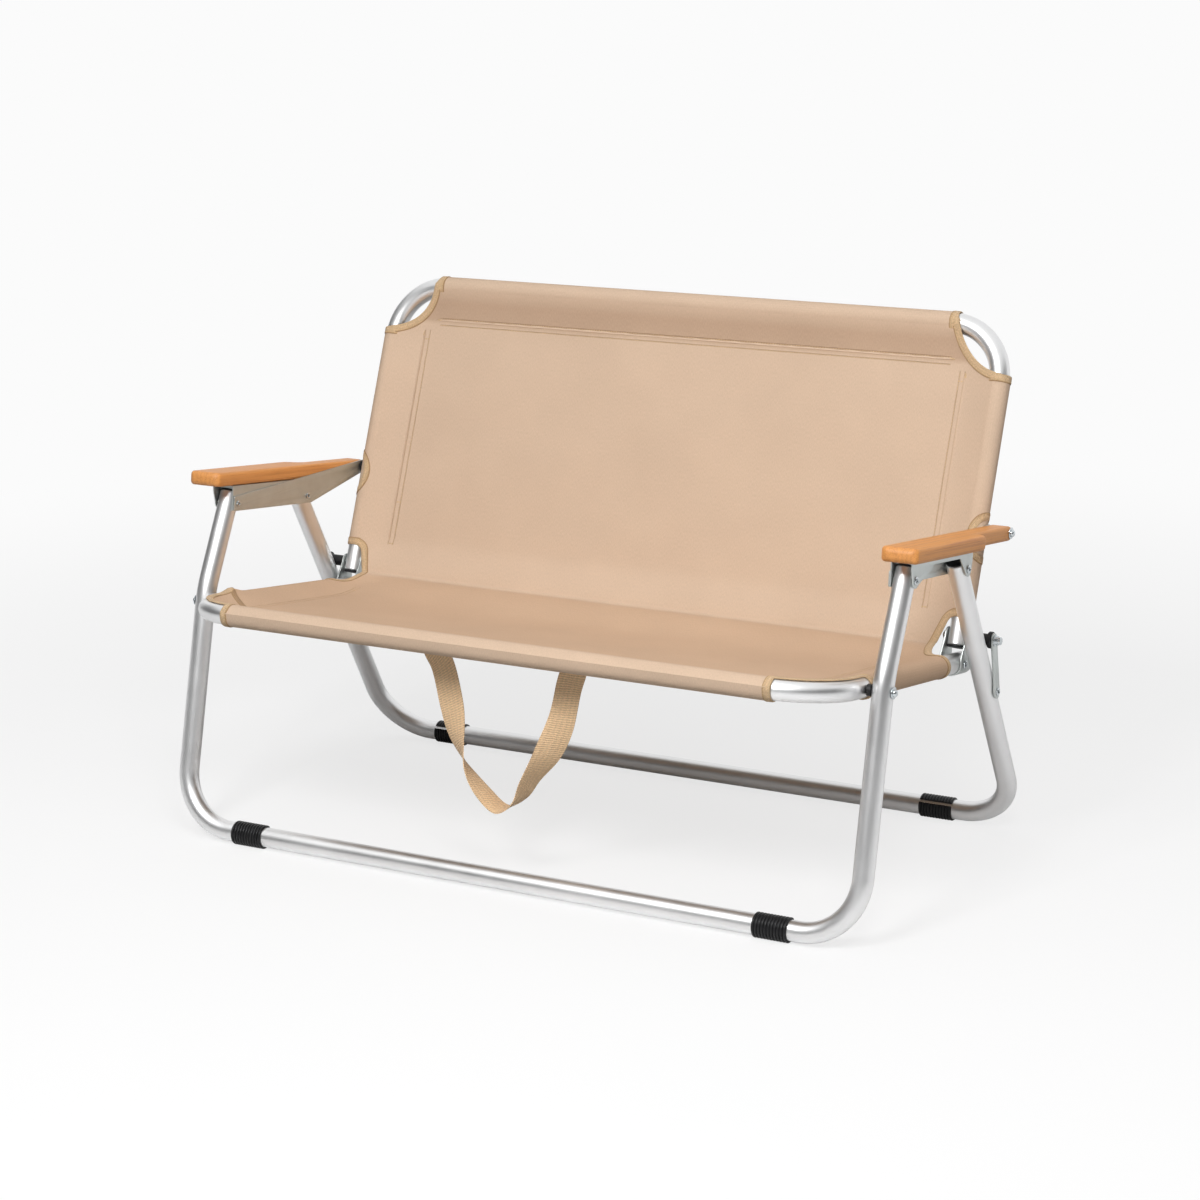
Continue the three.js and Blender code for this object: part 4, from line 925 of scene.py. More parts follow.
# Binding tape: a strip folded over the cloth's cut edges, as depths into the cloth and heights off it
TAPE_WIDTH = 10.0
TAPE_SECTION = [(TAPE_WIDTH, 0.5), (TAPE_WIDTH - 0.3, 1.25), (5.5, 1.4), (0.9, 1.3), (-0.6, 0.9)]
TAPE_SECTION += [(-1.1, 0.0), (-0.6, -0.62), (1.0, -0.72), (6.0, -0.7)]
TAPE_ROW = 3.0
# A strip of the same tape, laid slantwise over each front corner of the seat
STRIP_SECTION = [(-5.0, 0.5), (-4.6, 1.1), (0.0, 1.25), (4.6, 1.1), (5.0, 0.5)]
STRIP_ENDS = np.array([on_seat((404.0, -50.0)), on_seat((489.0, 13.0))])
STRIP_STEPS = 30


def aside(steps):
    """Unit steps to the left of the given ones, in the flat pattern."""
    ahead = unit(steps)
    return np.stack([-ahead[..., 1], ahead[..., 0]], -1)


def inward(path, closed):
    """Unit steps from an edge into the cloth."""
    ahead = np.roll(path, -1, axis=0) - np.roll(path, 1, axis=0)
    if not closed:
        ahead[0], ahead[-1] = path[1] - path[0], path[-1] - path[-2]
    return aside(ahead)


def tape(name, rows, faces):
    """A strip from its rows, each with its places in the pattern, its height and its own flat places."""
    points = np.vstack([on_cloth(spots, lift) for spots, lift, flat in rows])
    flats = np.vstack([flat for spots, lift, flat in rows])
    return cross_joint(make(name, points, faces, "binding_tape", flats, SOFT))


def flat_row(reach, along):
    return np.stack([np.full(len(along), reach), along], 1)


def binding(name, path, closed):
    path = np.array(path)
    into, along = inward(path, closed), travelled(path)
    rows = [
        (path + into * depth, lift, flat_row(TAPE_ROW * r, along))
        for r, (depth, lift) in enumerate(TAPE_SECTION)
    ]
    return tape(name, rows, patch_faces(len(rows), len(path), closed))


def corner_strip(name, sign):
    share = np.linspace(0, 1, STRIP_STEPS)
    run = STRIP_ENDS[1] - STRIP_ENDS[0]
    path = STRIP_ENDS[0] + run * share[:, None]
    rows = [
        ((path + aside(run) * off) * (sign, 1), lift, flat_row(off, share * np.linalg.norm(run)))
        for off, lift in STRIP_SECTION
    ]
    faces = patch_faces(len(rows), STRIP_STEPS)
    return tape(name, rows, flipped(faces) if sign > 0 else faces)


runs = {"seat_corner": front_run, "hinge": hinge_run, "back_corner": top_run}
tapes = []
for label, sign in SIDES:
    for spot_name, run in runs.items():
        path = run if sign > 0 else [(-a, b) for a, b in reversed(run)]
        tapes.append(binding(f"tape_{spot_name}_{label}", path, False))
    tapes.append(binding(f"tape_pivot_{label}", notch[::-1] if sign > 0 else loops[2], True))
tapes += [corner_strip("tape_gusset_right", 1), corner_strip("tape_gusset_left", -1)]

# Stitching: short threads along the seams and the tape
STITCH = 3.2
STITCH_GAP = 0.9
STITCH_START = 0.5
STITCH_HALF = 0.45
STITCH_HIGH = 0.4
STITCH_IN = 2.2
# A thread's rings, as share of its length, of its width and of its height, and their corners
STITCH_RINGS = ((0.0, 0.35, 0.0), (0.2, 1.0, 0.8), (0.8, 1.0, 0.8), (1.0, 0.35, 0.0))
STITCH_CORNERS = ((-1, 0.0), (-0.6, 1.0), (0.6, 1.0), (1, 0.0))
FACE = CLOTH / 2 - 0.05
TAPE_FACE = 1.25
TACK_HALF = 0.5
TACK_PAST = 1.5
TACK_RISE = 0.2
thread_faces = np.array(capped_faces(len(STITCH_RINGS), len(STITCH_CORNERS)))
stitch_points, stitch_faces = [], []


def sew(path, lift):
    path = np.array(path, float)
    reach = travelled(path)
    starts = np.arange(STITCH_START, reach[-1] - STITCH, STITCH + STITCH_GAP)

    def at(distance):
        return np.stack([np.interp(distance, reach, path[:, k]) for k in (0, 1)], 1)

    first = at(starts)
    thread = at(starts + STITCH) - first
    corners = []
    for share, width, high in STITCH_RINGS:
        for off, up in STITCH_CORNERS:
            spots = first + thread * share + aside(thread) * STITCH_HALF * width * off
            corners.append(on_cloth(spots, lift + STITCH_HIGH * high * up))
    for points in np.stack(corners, 1):
        stitch_faces.extend(thread_faces + len(stitch_points))
        stitch_points.extend(points)


def sew_both(path, lift):
    sew(path, lift)
    sew(np.array(path) * MIRROR, lift)


for lengthwise, row, low, high in seam_rows:
    if lengthwise:
        sew_both([(row, low), (row, high)], FACE)
    else:
        sew([(low, row), (high, row)], FACE)
for tack in [back_b(s) for s in BACK_TACKS] + [seat_b(u) for u in SEAT_TACKS]:
    for b in (tack - TACK_HALF, tack + TACK_HALF):
        sew_both([(SIDE_ROWS[0] - TACK_PAST, b), (SIDE_ROWS[1] + TACK_PAST, b)], FACE + TACK_RISE)
for run in map(np.array, runs.values()):
    sew_both(run + inward(run, False) * (TAPE_WIDTH - STITCH_IN), TAPE_FACE)
pivot_run = notch[::-1] + inward(notch[::-1], True) * (TAPE_WIDTH - STITCH_IN)
sew_both(np.vstack([pivot_run, pivot_run[:1]]), TAPE_FACE)
stitching = make("stitching", stitch_points, stitch_faces, "thread", None, SOFT)
cross_joint(stitching)

# Carry strap: flat webbing that hangs in a loop with half a twist
STRAP_HALF = 19.0
STRAP_THICK = 2.0
STRAP_TOP = (SEAM - SEAT_FRONT + 3.0, SEAM_DEPTH - 1.2)
STRAP_LEFT_X, STRAP_RIGHT_X = -116.0, 101.0
STRAP_SEW = 14.0
STRAP_TWISTS = ((0.16, 0.46), (0.5, 0.88))
STRAP_ROUTE = [(-104, 292), (-92, 240), (-84, 188), (-72, 155), (-45, 120), (-17, 101)]
STRAP_ROUTE += [(10, 117), (27, 146), (55, 187), (78, 234), (92, 287)]
STRAP_STEPS = 150
STRAP_ACROSS = 9
STRAP_DENSE = 1200
STRAP_CUP = (1.2, 0.4)
STRAP_THIN = (0.35, 8)


def spline(knots, samples):
    """Points of a smooth curve through knots, paced by the roots of their distances."""
    chord = np.concatenate([[0], np.cumsum(np.sqrt(np.linalg.norm(np.diff(knots, axis=0), axis=1)))])
    padded = np.vstack([2 * knots[0] - knots[1], knots, 2 * knots[-1] - knots[-2]])
    times = np.concatenate([[-chord[1]], chord, [2 * chord[-1] - chord[-2]]])
    points = []
    for t in np.linspace(0, chord[-1], samples):
        i = min(max(int(np.searchsorted(chord, t, "right")) - 1, 0), len(knots) - 2)
        level, q = list(padded[i : i + 4]), times[i : i + 4]
        for reach, starts in ((1, (0, 1, 2)), (2, (0, 1)), (1, (1,))):
            level = [
                ((q[k + reach] - t) * p + (t - q[k]) * r) / (q[k + reach] - q[k])
                for k, p, r in zip(starts, level, level[1:])
            ]
        points.append(level[0])
    return np.array(points)


def carry_strap():
    y, z = SEAT([(0, *STRAP_TOP)])[0][1:]
    knots = [(STRAP_LEFT_X, z), (STRAP_LEFT_X, z - STRAP_SEW)] + STRAP_ROUTE
    knots = np.array(knots + [(STRAP_RIGHT_X, z - STRAP_SEW), (STRAP_RIGHT_X, z)], float)
    dense = spline(knots, STRAP_DENSE)
    length = travelled(dense)
    at = np.linspace(0, length[-1], STRAP_STEPS + 1)
    route = np.stack([np.interp(at, length, dense[:, k]) for k in (0, 1)], 1)
    points, flat = [], []
    spread = np.linspace(-1, 1, STRAP_ACROSS)
    for here, step, reach in zip(route, unit(np.gradient(route, axis=0)), at):
        share = reach / length[-1]
        twist = math.pi / 2 * float(sum(smooth(share, *ends) for ends in STRAP_TWISTS))
        tangent = np.array([step[0], 0.0, step[1]])
        wide = np.array([math.cos(twist), -math.sin(twist), 0.0])
        wide = unit(wide - tangent * (wide @ tangent))
        thick = np.cross(tangent, wide)
        cup = STRAP_CUP[0] * math.sin(math.pi * share) ** 2
        for face in (1, -1):
            for w in spread[::face]:
                edge = STRAP_THICK / 2 * (1 - STRAP_THIN[0] * abs(w) ** STRAP_THIN[1])
                off = face * edge + cup * (w * w - STRAP_CUP[1])
                points.append(np.array([here[0], y, here[1]]) + wide * STRAP_HALF * w + thick * off)
                flat.append((STRAP_HALF * w, reach))
    faces = capped_faces(STRAP_STEPS + 1, 2 * STRAP_ACROSS)
    return make("strap_webbing", points, faces, "webbing", flat, SOFT), float(length[-1])


strap, strap_length = carry_strap()
settle(strap, "seat", "webbing", "carry_strap")

# Turned pieces: bolts, rivets, spacers and collars, as profiles of radius and distance out along X
LEG_OUT, LEG_IN = LEG_X + TUBE_R, LEG_X - TUBE_R
SIDE_OUT, SIDE_IN = SIDE_X + TUBE_R, SIDE_X - TUBE_R
CHANNEL_WALL = 1.5
BAR_WALL = 2.0
BRACKET_WALL = 2.0
LINK_THICK = 3.0
CHANNEL_IN = LEG_IN - CLEAR - CHANNEL_WALL
CHANNEL_OUT = LEG_OUT + CLEAR + CHANNEL_WALL
BAR_IN = CHANNEL_IN - CLEAR - BAR_WALL
BRACKET_HALF = TUBE_R + CLEAR + BRACKET_WALL
BRACKET_RIVET = 316.0
LINK_IN = LEG_OUT + CLEAR
LINK_OUT = LINK_IN + LINK_THICK
PIVOT_R = 3.5
HINGE_R = 4.0
NUT_HIGH = 4.0
SHANK_PAST = 1.5
WASHER_R, WASHER, WASHER_EASE = 8.0, 1.2, 0.4
CAP_R, CAP_HIGH, CAP_STEPS = 5.0, 3.5, 8
COLLAR_R, COLLAR_OUT, COLLAR_EASE = 5.4, LINK_OUT + 9.0, 0.9
RING_R, RING, RING_STEP, RING_EASE = 11.5, 5.0, 1.0, 0.8
SLEEVE_EASE = 0.5
RIVET_R = 3.0
RIVET_DEEP = 8.0
# A rivet's head and tail: its radius and that of its bore; and its rolled rim, as steps in and up
RIVET_HEAD, RIVET_TAIL = (5.6, 2.8), (4.2, 2.0)
RIVET_ROLL = ((0.0, 0.0), (0.1, 0.7), (0.9, 1.4), (1.9, 1.6))
BORE_ROLL = ((0.7, 1.4), (0.0, 0.7), (0.0, -RIVET_DEEP))
WOOD_WIDTH = 51.0
WOOD_STEP_DEPTH = 20.0
TAIL_OUT = CHANNEL_IN + WOOD_WIDTH - WOOD_STEP_DEPTH
SMALL = 0.02
TURNED_SIDES = 32
EASE_STEPS = 3
EASE_SHARE = 2.1


def revolve(profile):
    """Points and faces of a profile turned about X, and closed on itself where it starts off the axis."""
    angles = np.linspace(0, math.tau, TURNED_SIDES, endpoint=False)
    points = [(x, r * math.cos(t), r * math.sin(t)) for r, x in profile for t in angles]
    return np.array(points), ring_faces(len(profile), TURNED_SIDES, profile[0][0] > SMALL)


def eased(profile, radius, steps=EASE_STEPS):
    """The profile with its inner corners rounded."""
    profile = [np.array(p, float) for p in profile]
    out = [profile[0]]
    for before, here, after in zip(profile, profile[1:], profile[2:]):
        one, two = before - here, after - here
        reach = min(radius, np.linalg.norm(one) / EASE_SHARE, np.linalg.norm(two) / EASE_SHARE)
        out += curve(here + unit(one) * reach, here, here + unit(two) * reach, steps)
    return out + [profile[-1]]


def rivet_head(base, wide, bore):
    """A tubular rivet's rolled head, from its rim in to the open bore."""
    rim = [(wide - into, base + up) for into, up in RIVET_ROLL]
    return rim + [(bore + off, base + up) for off, up in BORE_ROLL] + [(SMALL, base - RIVET_DEEP)]


def rivet_profile(x0, x1):
    tail = [(r, x0 + x1 - x) for r, x in reversed(rivet_head(x1 + CLEAR, *RIVET_TAIL))]
    return tail + [(RIVET_R, x0 - CLEAR), (RIVET_R, x1 + CLEAR)] + rivet_head(x1 + CLEAR, *RIVET_HEAD)


def bolt_profile(x0, x1):
    base = x1 + WASHER
    washer = eased([(PIVOT_R, x1), (WASHER_R, x1), (WASHER_R, base), (CAP_R, base)], WASHER_EASE)
    angles = np.linspace(0, math.pi / 2, CAP_STEPS + 1)
    top = x1 + 2 * WASHER
    cap = [(max(CAP_R * math.cos(t), SMALL), top + CAP_HIGH * math.sin(t)) for t in angles]
    return [(SMALL, x0), (PIVOT_R, x0), (PIVOT_R, x1)] + washer + cap


def sleeve_profile(x0, x1):
    bore = PIVOT_R + CLEAR
    return eased([(bore, x0), (SPACER_R, x0), (SPACER_R, x1), (bore, x1)], SLEEVE_EASE)


def hinge_sleeve_profile(x0, x1):
    bore, step = HINGE_R + CLEAR, x1 - RING
    inner = [(bore, x0), (SPACER_R, x0), (SPACER_R, step - RING_STEP)]
    return eased(inner + [(RING_R, step), (RING_R, x1), (bore, x1)], RING_EASE)


def mirrored_pair(name, node, place, slot, points, faces):
    """A piece of the right side and its mirror image."""
    for label, sign in SIDES:
        there = place(np.asarray(points, float) * (sign, 1, 1))
        piece = make(f"{name}_{label}", there, faces if sign > 0 else flipped(faces), slot)
        settle(piece, place.body, slot, *([f"{node}_{label}"] if node else []))


pivot_at = seat_pivot - front_bar
tail_at = (ARM_TAIL, ARM_TAIL_RISE)
hinge_at = (HINGE_REACH, HINGE_RISE)
span_at = (ARM_PIVOT_SPAN, 0)
bracket_at = (BRACKET_RIVET, 0)
link_at = (0, -float(np.hypot(*link_vector)))
pivot_bolt = bolt_profile(SIDE_IN - CLEAR - NUT_HIGH - SHANK_PAST, LEG_OUT + CLEAR)
pivot_sleeve = sleeve_profile(SIDE_OUT + CLEAR, LEG_IN - CLEAR)
arm_bolt = bolt_profile(SIDE_OUT + CLEAR, TAIL_OUT + CLEAR)
arm_sleeve = sleeve_profile(SIDE_OUT + CLEAR, BAR_IN - CLEAR)
arm_rivet = rivet_profile(BAR_IN, CHANNEL_OUT)
bracket_rivet = rivet_profile(SIDE_X - BRACKET_HALF, SIDE_X + BRACKET_HALF)
hinge_sleeve = hinge_sleeve_profile(SIDE_X + BRACKET_HALF + CLEAR, LINK_IN - CLEAR)
collar = [(SMALL, LINK_OUT), (COLLAR_R, LINK_OUT), (COLLAR_R, COLLAR_OUT), (SMALL, COLLAR_OUT)]
link_rivet = [(SMALL, LINK_IN), (RIVET_R, LINK_IN), (RIVET_R, LINK_OUT + CLEAR)]
link_rivet += rivet_head(LINK_OUT + CLEAR, *RIVET_HEAD)
for name, node, place, slot, at, profile in (
    ("pivot_bolt", "front_pivot_bolt", FRONT, "bright_steel", pivot_at, pivot_bolt),
    ("pivot_spacer", "front_pivot_spacer", FRONT, "black_plastic", pivot_at, pivot_sleeve),
    ("arm_rivet_front", "armrest_front_rivet", ARM, "bright_steel", (0, 0), arm_rivet),
    ("arm_rivet_rear", "armrest_rear_rivet", ARM, "bright_steel", span_at, arm_rivet),
    ("arm_bolt", "armrest_back_bolt", ARM, "bright_steel", tail_at, arm_bolt),
    ("arm_spacer", "armrest_back_spacer", ARM, "black_plastic", tail_at, arm_sleeve),
    ("bracket_rivet_head", "bracket_rivet", SEAT, "bright_steel", bracket_at, bracket_rivet),
    ("hinge_collar", "hinge_spacer", SEAT, "black_plastic", hinge_at, hinge_sleeve),
    ("hinge_bolt_collar", None, SEAT, "bright_steel", hinge_at, eased(collar, COLLAR_EASE)),
    ("link_rivet_head", "link_rivet", LINK, "bright_steel", link_at, link_rivet),
):
    points, faces = revolve(profile)
    mirrored_pair(name, node, place, slot, points + (0.0, *at), flipped(faces))

# Tube end plugs: a rounded cap with a moulding pip, and a stem in the bore
PLUG_STEM, PLUG_STEM_R = 6.0, 11.4
PLUG_HIGH, PLUG_EASE, PLUG_STEPS = 3.0, 1.2, 5
PIP_R, PIP_FLOOR_R, PIP_FLOOR = 4.0, 3.2, 2.6
plug_cap = [(PLUG_STEM_R, CLEAR), (TUBE_R, CLEAR), (TUBE_R, PLUG_HIGH), (PIP_R, PLUG_HIGH)]
plug = [(SMALL, -PLUG_STEM), (PLUG_STEM_R, -PLUG_STEM), (PLUG_STEM_R, CLEAR)]
plug += eased(plug_cap, PLUG_EASE, PLUG_STEPS) + [(PIP_FLOOR_R, PIP_FLOOR), (SMALL, PIP_FLOOR)]
plug_points, plug_faces = revolve(plug)
for name, node, place, spot, degrees in (
    ("seat_plug", "seat_end_plug", SEAT, seat_side[0], -90),
    ("back_plug", "back_end_plug", BACK, back_side[0], 180),
    ("front_plug", "front_leg_plug", FRONT, front_side[0], -UPPER_LEAN),
    ("rear_plug", "rear_leg_plug", REAR, rear_side[0], 0),
):
    y, z = turn((plug_points[:, 1], plug_points[:, 0]), degrees)
    points = np.stack([plug_points[:, 2], y, z], 1) + spot
    mirrored_pair(name, node, place, "black_plastic", points, plug_faces)

# Ribbed rubber feet, clipped round the floor bars with a slit on the inner upper side
FOOT_X, FOOT_LENGTH = 408.0, 50.0
FOOT_R, FOOT_BORE, FOOT_LIP = 16.8, 14.35, (0.4, 0.6)
FOOT_GROOVE, FOOT_RIBS, FOOT_SLIT = 1.8, 11, 5.0
FOOT_AROUND = 56
# A rib's profile, as shares of its pitch and of the groove's depth
RIB = ((0.06, 0.0), (0.16, 0.62), (0.28, 0.93), (0.5, 1.0), (0.72, 0.93), (0.84, 0.62), (0.94, 0.0))
foot_lip = FOOT_BORE + FOOT_LIP[0]
pitch = FOOT_LENGTH / FOOT_RIBS
section = [(FOOT_BORE, FOOT_LIP[1]), (foot_lip, 0.0)]
for k in range(FOOT_RIBS):
    section += [(FOOT_R - FOOT_GROOVE * (1 - rise), (k + share) * pitch) for share, rise in RIB]
section += [(foot_lip, FOOT_LENGTH), (FOOT_BORE, FOOT_LENGTH - FOOT_LIP[1])]
size = len(section)
last = (FOOT_AROUND - 1) * size
foot_faces = patch_faces(FOOT_AROUND, size, True)
foot_faces += [tuple(range(size)), tuple(range(last + size - 1, last - 1, -1))]
half_slit = FOOT_SLIT / 2 / FOOT_R
around = half_slit + np.linspace(0, math.tau - 2 * half_slit, FOOT_AROUND)
for name, node, body, bar, slit_degrees in (
    ("foot_front", "front_foot", "front_legs", front_bar, 40),
    ("foot_rear", "rear_foot", "rear_legs", rear_bar, 140),
):
    points = [
        (FOOT_X - FOOT_LENGTH / 2 + x, bar[0] + r * math.cos(t), max(BAR_HEIGHT + r * math.sin(t), 0.0))
        for t in math.radians(slit_degrees) + around
        for r, x in section
    ]
    mirrored_pair(name, node, Place(body, (0, 0), 0), "foot_rubber", points, foot_faces)

# Wooden armrests: rings of a rounded board along the grain, in the armrest's own frame
WOOD_UNDER, WOOD_THICK = 25.5, 20.0
WOOD_FRONT, WOOD_REAR = 48.0, 10.0
WOOD_STEP, WOOD_STEP_LENGTH = 177.0, 34.0
WOOD_CORNER, WOOD_EDGE, WOOD_NOSE = 9.0, 5.0, 8.0
WOOD_END, WOOD_END_GAP = 10.0, 14.0
WOOD_SHARP = 35.0
NOSE_SIDE = 0.25
END_LEAST = 0.0004
EDGE_MOST = 0.95
EDGE_STEPS = 6
# Stations along the board: front corner, plain run, step, tail and rounded end
STATIONS = (12, 24, 40, 12, 14)


def set_back(radius, depth):
    """How far a rounded edge stands back, at a depth behind its foremost line."""
    return radius - math.sqrt(max(radius**2 - max(radius - depth, 0) ** 2, 0))


def armrest(label, sign):
    rear = ARM_TAIL + WOOD_REAR
    middle = WOOD_UNDER + WOOD_THICK / 2
    t = np.linspace(0, 1, STATIONS[2])
    step_u = WOOD_STEP + WOOD_STEP_LENGTH * (t * (1 - t) ** 2 + 0.75 * t**2 * (1 - t) + t**3)
    step_x = 3 * t**2 * (1 - t) + t**3
    front = WOOD_CORNER * (1 - np.cos(np.linspace(0, math.pi / 2, STATIONS[0]))) - WOOD_FRONT
    plain = np.linspace(2 * WOOD_CORNER - WOOD_FRONT, WOOD_STEP, STATIONS[1])
    tail_start = WOOD_STEP + WOOD_STEP_LENGTH + WOOD_END_GAP
    tail = np.linspace(tail_start, rear - WOOD_END_GAP, STATIONS[3])
    end = rear - WOOD_END + WOOD_END * np.sin(np.linspace(0, math.pi / 2, STATIONS[4]))
    stations = np.concatenate([front, plain, step_u[1:], tail, end])
    points = []
    for u in stations:
        lip = set_back(WOOD_NOSE, u + WOOD_FRONT)
        bow = set_back(WOOD_CORNER, u + WOOD_FRONT) + NOSE_SIDE * lip
        narrow = WOOD_STEP_DEPTH * float(np.interp(u, step_u, step_x))
        past = max(u - (rear - WOOD_END), 0) / WOOD_END
        half = WOOD_THICK / 2 * math.sqrt(max(1 - past**2, END_LEAST)) - lip
        edge = min(WOOD_EDGE, half * EDGE_MOST)
        left = CHANNEL_IN + bow + edge
        right = CHANNEL_IN + WOOD_WIDTH - narrow - bow - edge
        high = half - edge
        for x, z, first in ((right, high, 0), (left, high, 90), (left, -high, 180), (right, -high, 270)):
            for a in np.radians(np.linspace(first, first + 90, EDGE_STEPS + 1)):
                points.append((sign * (x + edge * math.cos(a)), u, middle + z + edge * math.sin(a)))
    faces = capped_faces(len(stations), 4 * (EDGE_STEPS + 1))
    piece = make(f"board_{label}", points, flipped(faces) if sign > 0 else faces, "beech", None, WOOD_SHARP)
    piece.matrix_world = ARM.matrix()
    settle(piece, "armrests", "beech", f"armrest_wood_{label}")


for label, sign in SIDES:
    armrest(label, sign)

# Sheet-metal pieces and small fasteners: their solids' shapes with eased edges, and a slimmer link
WELD_WITHIN = 0.00002
FLAT_WITHIN = math.radians(2)
BEVEL_FROM = math.radians(50)
BEVEL_SEGMENTS = 2
LINK_SLIM = 0.82
# Node, body, slot and the bevel's width
EASED = (
    ("armrest_channel", "armrests", "zinc_steel", 0.45),
    ("armrest_bar", "armrests", "zinc_steel", 0.5),
    ("hinge_bracket", "seat", "zinc_steel", 0.5),
    ("link", "links", "zinc_steel", 0.6),
    ("hinge_bolt", "seat", "bright_steel", 0.4),
    ("hinge_nut", "seat", "bright_steel", 0.4),
    ("front_pivot_nut", "front_legs", "bright_steel", 0.4),
    ("armrest_screw_1", "armrests", "bright_steel", 0.4),
    ("armrest_screw_2", "armrests", "bright_steel", 0.4),
)


def eased_copy(node, body, slot, width):
    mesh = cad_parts[node].data.copy()
    mesh.name = f"eased_{node}"
    mesh.materials.clear()
    mesh.materials.append(looks[slot])
    piece = new_object(f"eased_{node}", mesh)
    weld = piece.modifiers.new("weld", "WELD")
    weld.merge_threshold = WELD_WITHIN
    flat = piece.modifiers.new("flat", "DECIMATE")
    flat.decimate_type = "DISSOLVE"
    flat.angle_limit = FLAT_WITHIN
    bevel = piece.modifiers.new("bevel", "BEVEL")
    bevel.width = width * MM
    bevel.segments = BEVEL_SEGMENTS
    bevel.limit_method = "ANGLE"
    bevel.angle_limit = BEVEL_FROM
    bpy.context.view_layer.update()
    done = bpy.data.meshes.new_from_object(piece.evaluated_get(bpy.context.evaluated_depsgraph_get()))
    piece.modifiers.clear()
    piece.data = done
    done.shade_smooth()
    done.set_sharp_from_angle(angle=math.radians(SHARP))
    return settle(piece, body, slot, node)


def slim(piece):
    """Draws the link in across its length."""
    along = Vector((0, *link_vector)).normalized()
    top = Vector((0, *(hinge - np.array([MID_Y, 0])))) * MM
    for vertex in piece.data.vertices:
        from_top = vertex.co - top
        across = from_top - along * from_top.dot(along)
        across.x = 0
        vertex.co -= across * (1 - LINK_SLIM)


for label, _ in SIDES:
    for node, body, slot, width in EASED:
        piece = eased_copy(f"{node}_{label}", body, slot, width)
        if node == "link":
            slim(piece)

# Stage, in metres: a pale floor that keeps the shadow, and grey walls out of the camera's sight
PALE = 0.965
BOUNCE = 0.4
FLOOR_SEEN = 0.9
FLOOR_REACH = 30.0
FLOOR_FADE = (0.9, 2.6)
CAMERA_NEAR = 0.76
WALL_GREY = 0.3
WALL_ROUGH = 0.9
WALL_AWAY, WALL_LOW, WALL_HIGH = 7.0, 0.02, 4.6
WALL_BEARINGS = (-110, -66, -22, 22, 66)
WALL_TURN = 44
SKY_LIGHT = 0.3


def stage_piece(name, points, material):
    mesh = bpy.data.meshes.new(name)
    mesh.from_pydata(points, [], [tuple(range(len(points)))])
    mesh.materials.append(material)
    piece = new_object(name, mesh)
    piece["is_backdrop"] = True
    return piece


def floor_material():
    """Matt for the light on the object, and fading to an even pale tone where it is looked at."""
    n = new_material("pale_floor")
    n.tree.nodes.remove(n.tree.nodes["Principled BSDF"])
    camera_ray, shiny_ray, seen = n.looking()
    matt = n.add("BsdfDiffuse", {"Color": n.span(seen, 0.0, 1.0, BOUNCE, FLOOR_SEEN)})
    glow = n.add("Emission", {"Color": (*grey(PALE), 1)})
    away = n.add("VectorMath", {0: n.place()}, "Value", operation="LENGTH")
    shares = []
    for ray, nearest in ((camera_ray, CAMERA_NEAR), (shiny_ray, 0.0)):
        fade = n.span(away, *FLOOR_FADE, nearest, 1.0, interpolation_type="SMOOTHSTEP")
        shares.append(n.times(fade, ray))
    mixed = n.add("MixShader", {"Fac": n.calc("MAXIMUM", *shares), 1: matt, 2: glow})
    n.put(n.tree.nodes["Material Output"].inputs["Surface"], mixed)
    return n.owner


floor_corners = [(x * FLOOR_REACH, y * FLOOR_REACH, 0) for x, y in ((-1, -1), (1, -1), (1, 1), (-1, 1))]
stage_piece("floor", floor_corners, floor_material())
wall_nodes = new_material("grey_wall")
wall_material = wall_nodes.surface({"Base Color": (*grey(WALL_GREY), 1), "Roughness": WALL_ROUGH})
for k, first in enumerate(WALL_BEARINGS):
    last = first + WALL_TURN
    corners = [
        (WALL_AWAY * math.sin(math.radians(bearing)), -WALL_AWAY * math.cos(math.radians(bearing)), z)
        for bearing, z in ((first, WALL_LOW), (last, WALL_LOW), (last, WALL_HIGH), (first, WALL_HIGH))
    ]
    stage_piece(f"wall_{k}", corners, wall_material).visible_camera = False

world = bpy.data.worlds.new("studio")
bpy.context.scene.world = world
world_nodes = Nodes(world)
sky = world_nodes.tree.nodes["Background"]
sky.inputs["Color"].default_value = (1, 1, 1, 1)
sky_level = world_nodes.span(world_nodes.looking()[2], 0.0, 1.0, SKY_LIGHT, PALE)
world_nodes.put(sky.inputs["Strength"], sky_level)

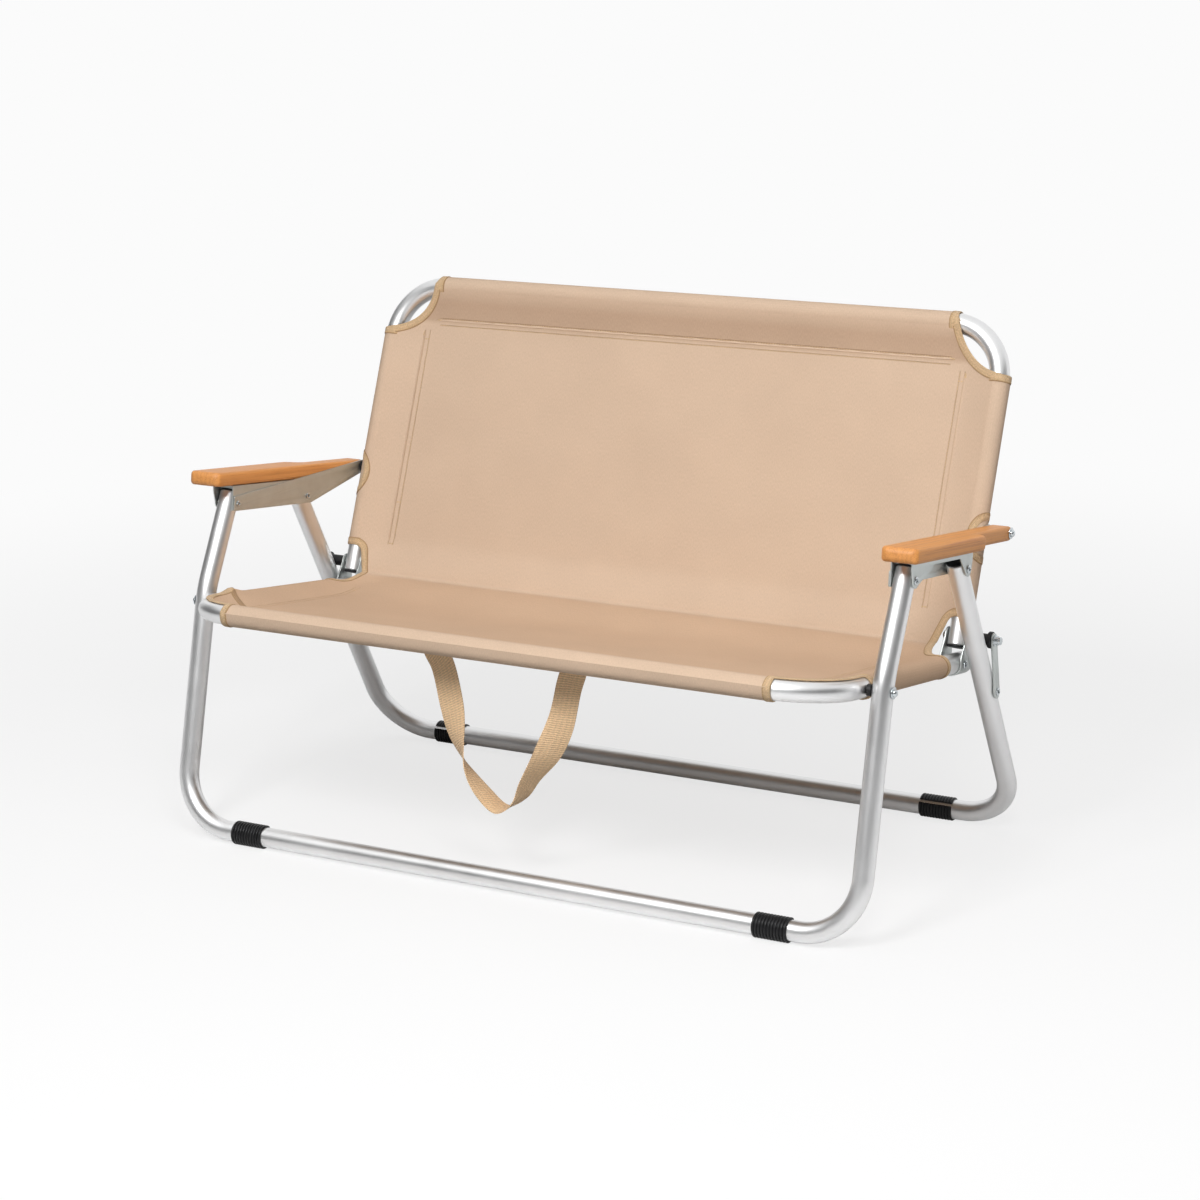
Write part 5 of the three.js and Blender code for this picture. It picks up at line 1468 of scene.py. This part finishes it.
# Soft lamps: place, aim height, width and height, watts, and whether they light matt and mirror surfaces
KEY = (0.0, -2.35, 2.5)
LAMPS = {
    "key": (KEY, 0.4, (0.8, 0.8), 48, True, True),
    "streak": (KEY, 0.4, (0.8, 0.8), 30, False, True),
    "second": ((1.45, -1.95, 2.5), 0.4, (0.8, 0.8), 32, True, False),
    "side": ((3.2, -1.6, 2.4), 0.4, (2.2, 2.2), 34, True, False),
    "low": ((0.35, -4.0, 0.9), 0.3, (0.9, 1.6), 8, True, False),
    "fill": ((-3.2, -2.6, 2.2), 0.4, (2.4, 2.4), 9, True, False),
    "top": ((-0.3, 0.4, 4.2), 0.3, (3.2, 3.2), 20, True, False),
}
for name, (spot, aim, size, power, matt, mirrored) in LAMPS.items():
    data = bpy.data.lights.new(name, "AREA")
    data.shape = "RECTANGLE"
    data.size, data.size_y = size
    data.energy = power
    lamp = new_object(name, data)
    lamp.visible_camera = False
    lamp.visible_diffuse = matt
    lamp.visible_glossy = mirrored
    lamp.location = spot
    lamp.rotation_euler = (Vector((0, 0, aim)) - Vector(spot)).to_track_quat("-Z", "Y").to_euler()

# Camera fitted to the photograph
AZIMUTH, ELEVATION, ROLL = 29.5325, 14.7438, -1.1249
DISTANCE = 4.2218
TARGET = Vector((0.01095, -0.00791, 0.3405))
FOCAL_PIXELS, PHOTO_PIXELS, SENSOR = 3040.89, 1200.0, 36.0
a, e, r = (math.radians(v) for v in (AZIMUTH, ELEVATION, ROLL))
backward = Vector((math.sin(a) * math.cos(e), -math.cos(a) * math.cos(e), math.sin(e)))
level_right = Vector((math.cos(a), math.sin(a), 0))
level_up = backward.cross(level_right)
right = level_right * math.cos(r) + level_up * math.sin(r)
up = level_up * math.cos(r) - level_right * math.sin(r)
camera_data = bpy.data.cameras.new("camera")
camera_data.sensor_width = SENSOR
camera_data.lens = FOCAL_PIXELS / PHOTO_PIXELS * SENSOR
camera = new_object("camera", camera_data)
turned = Matrix((right, up, backward)).transposed().to_4x4()
camera.matrix_world = Matrix.Translation(TARGET + backward * DISTANCE) @ turned
bpy.context.scene.camera = camera
bpy.context.scene.view_settings.view_transform = "Standard"

low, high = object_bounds()
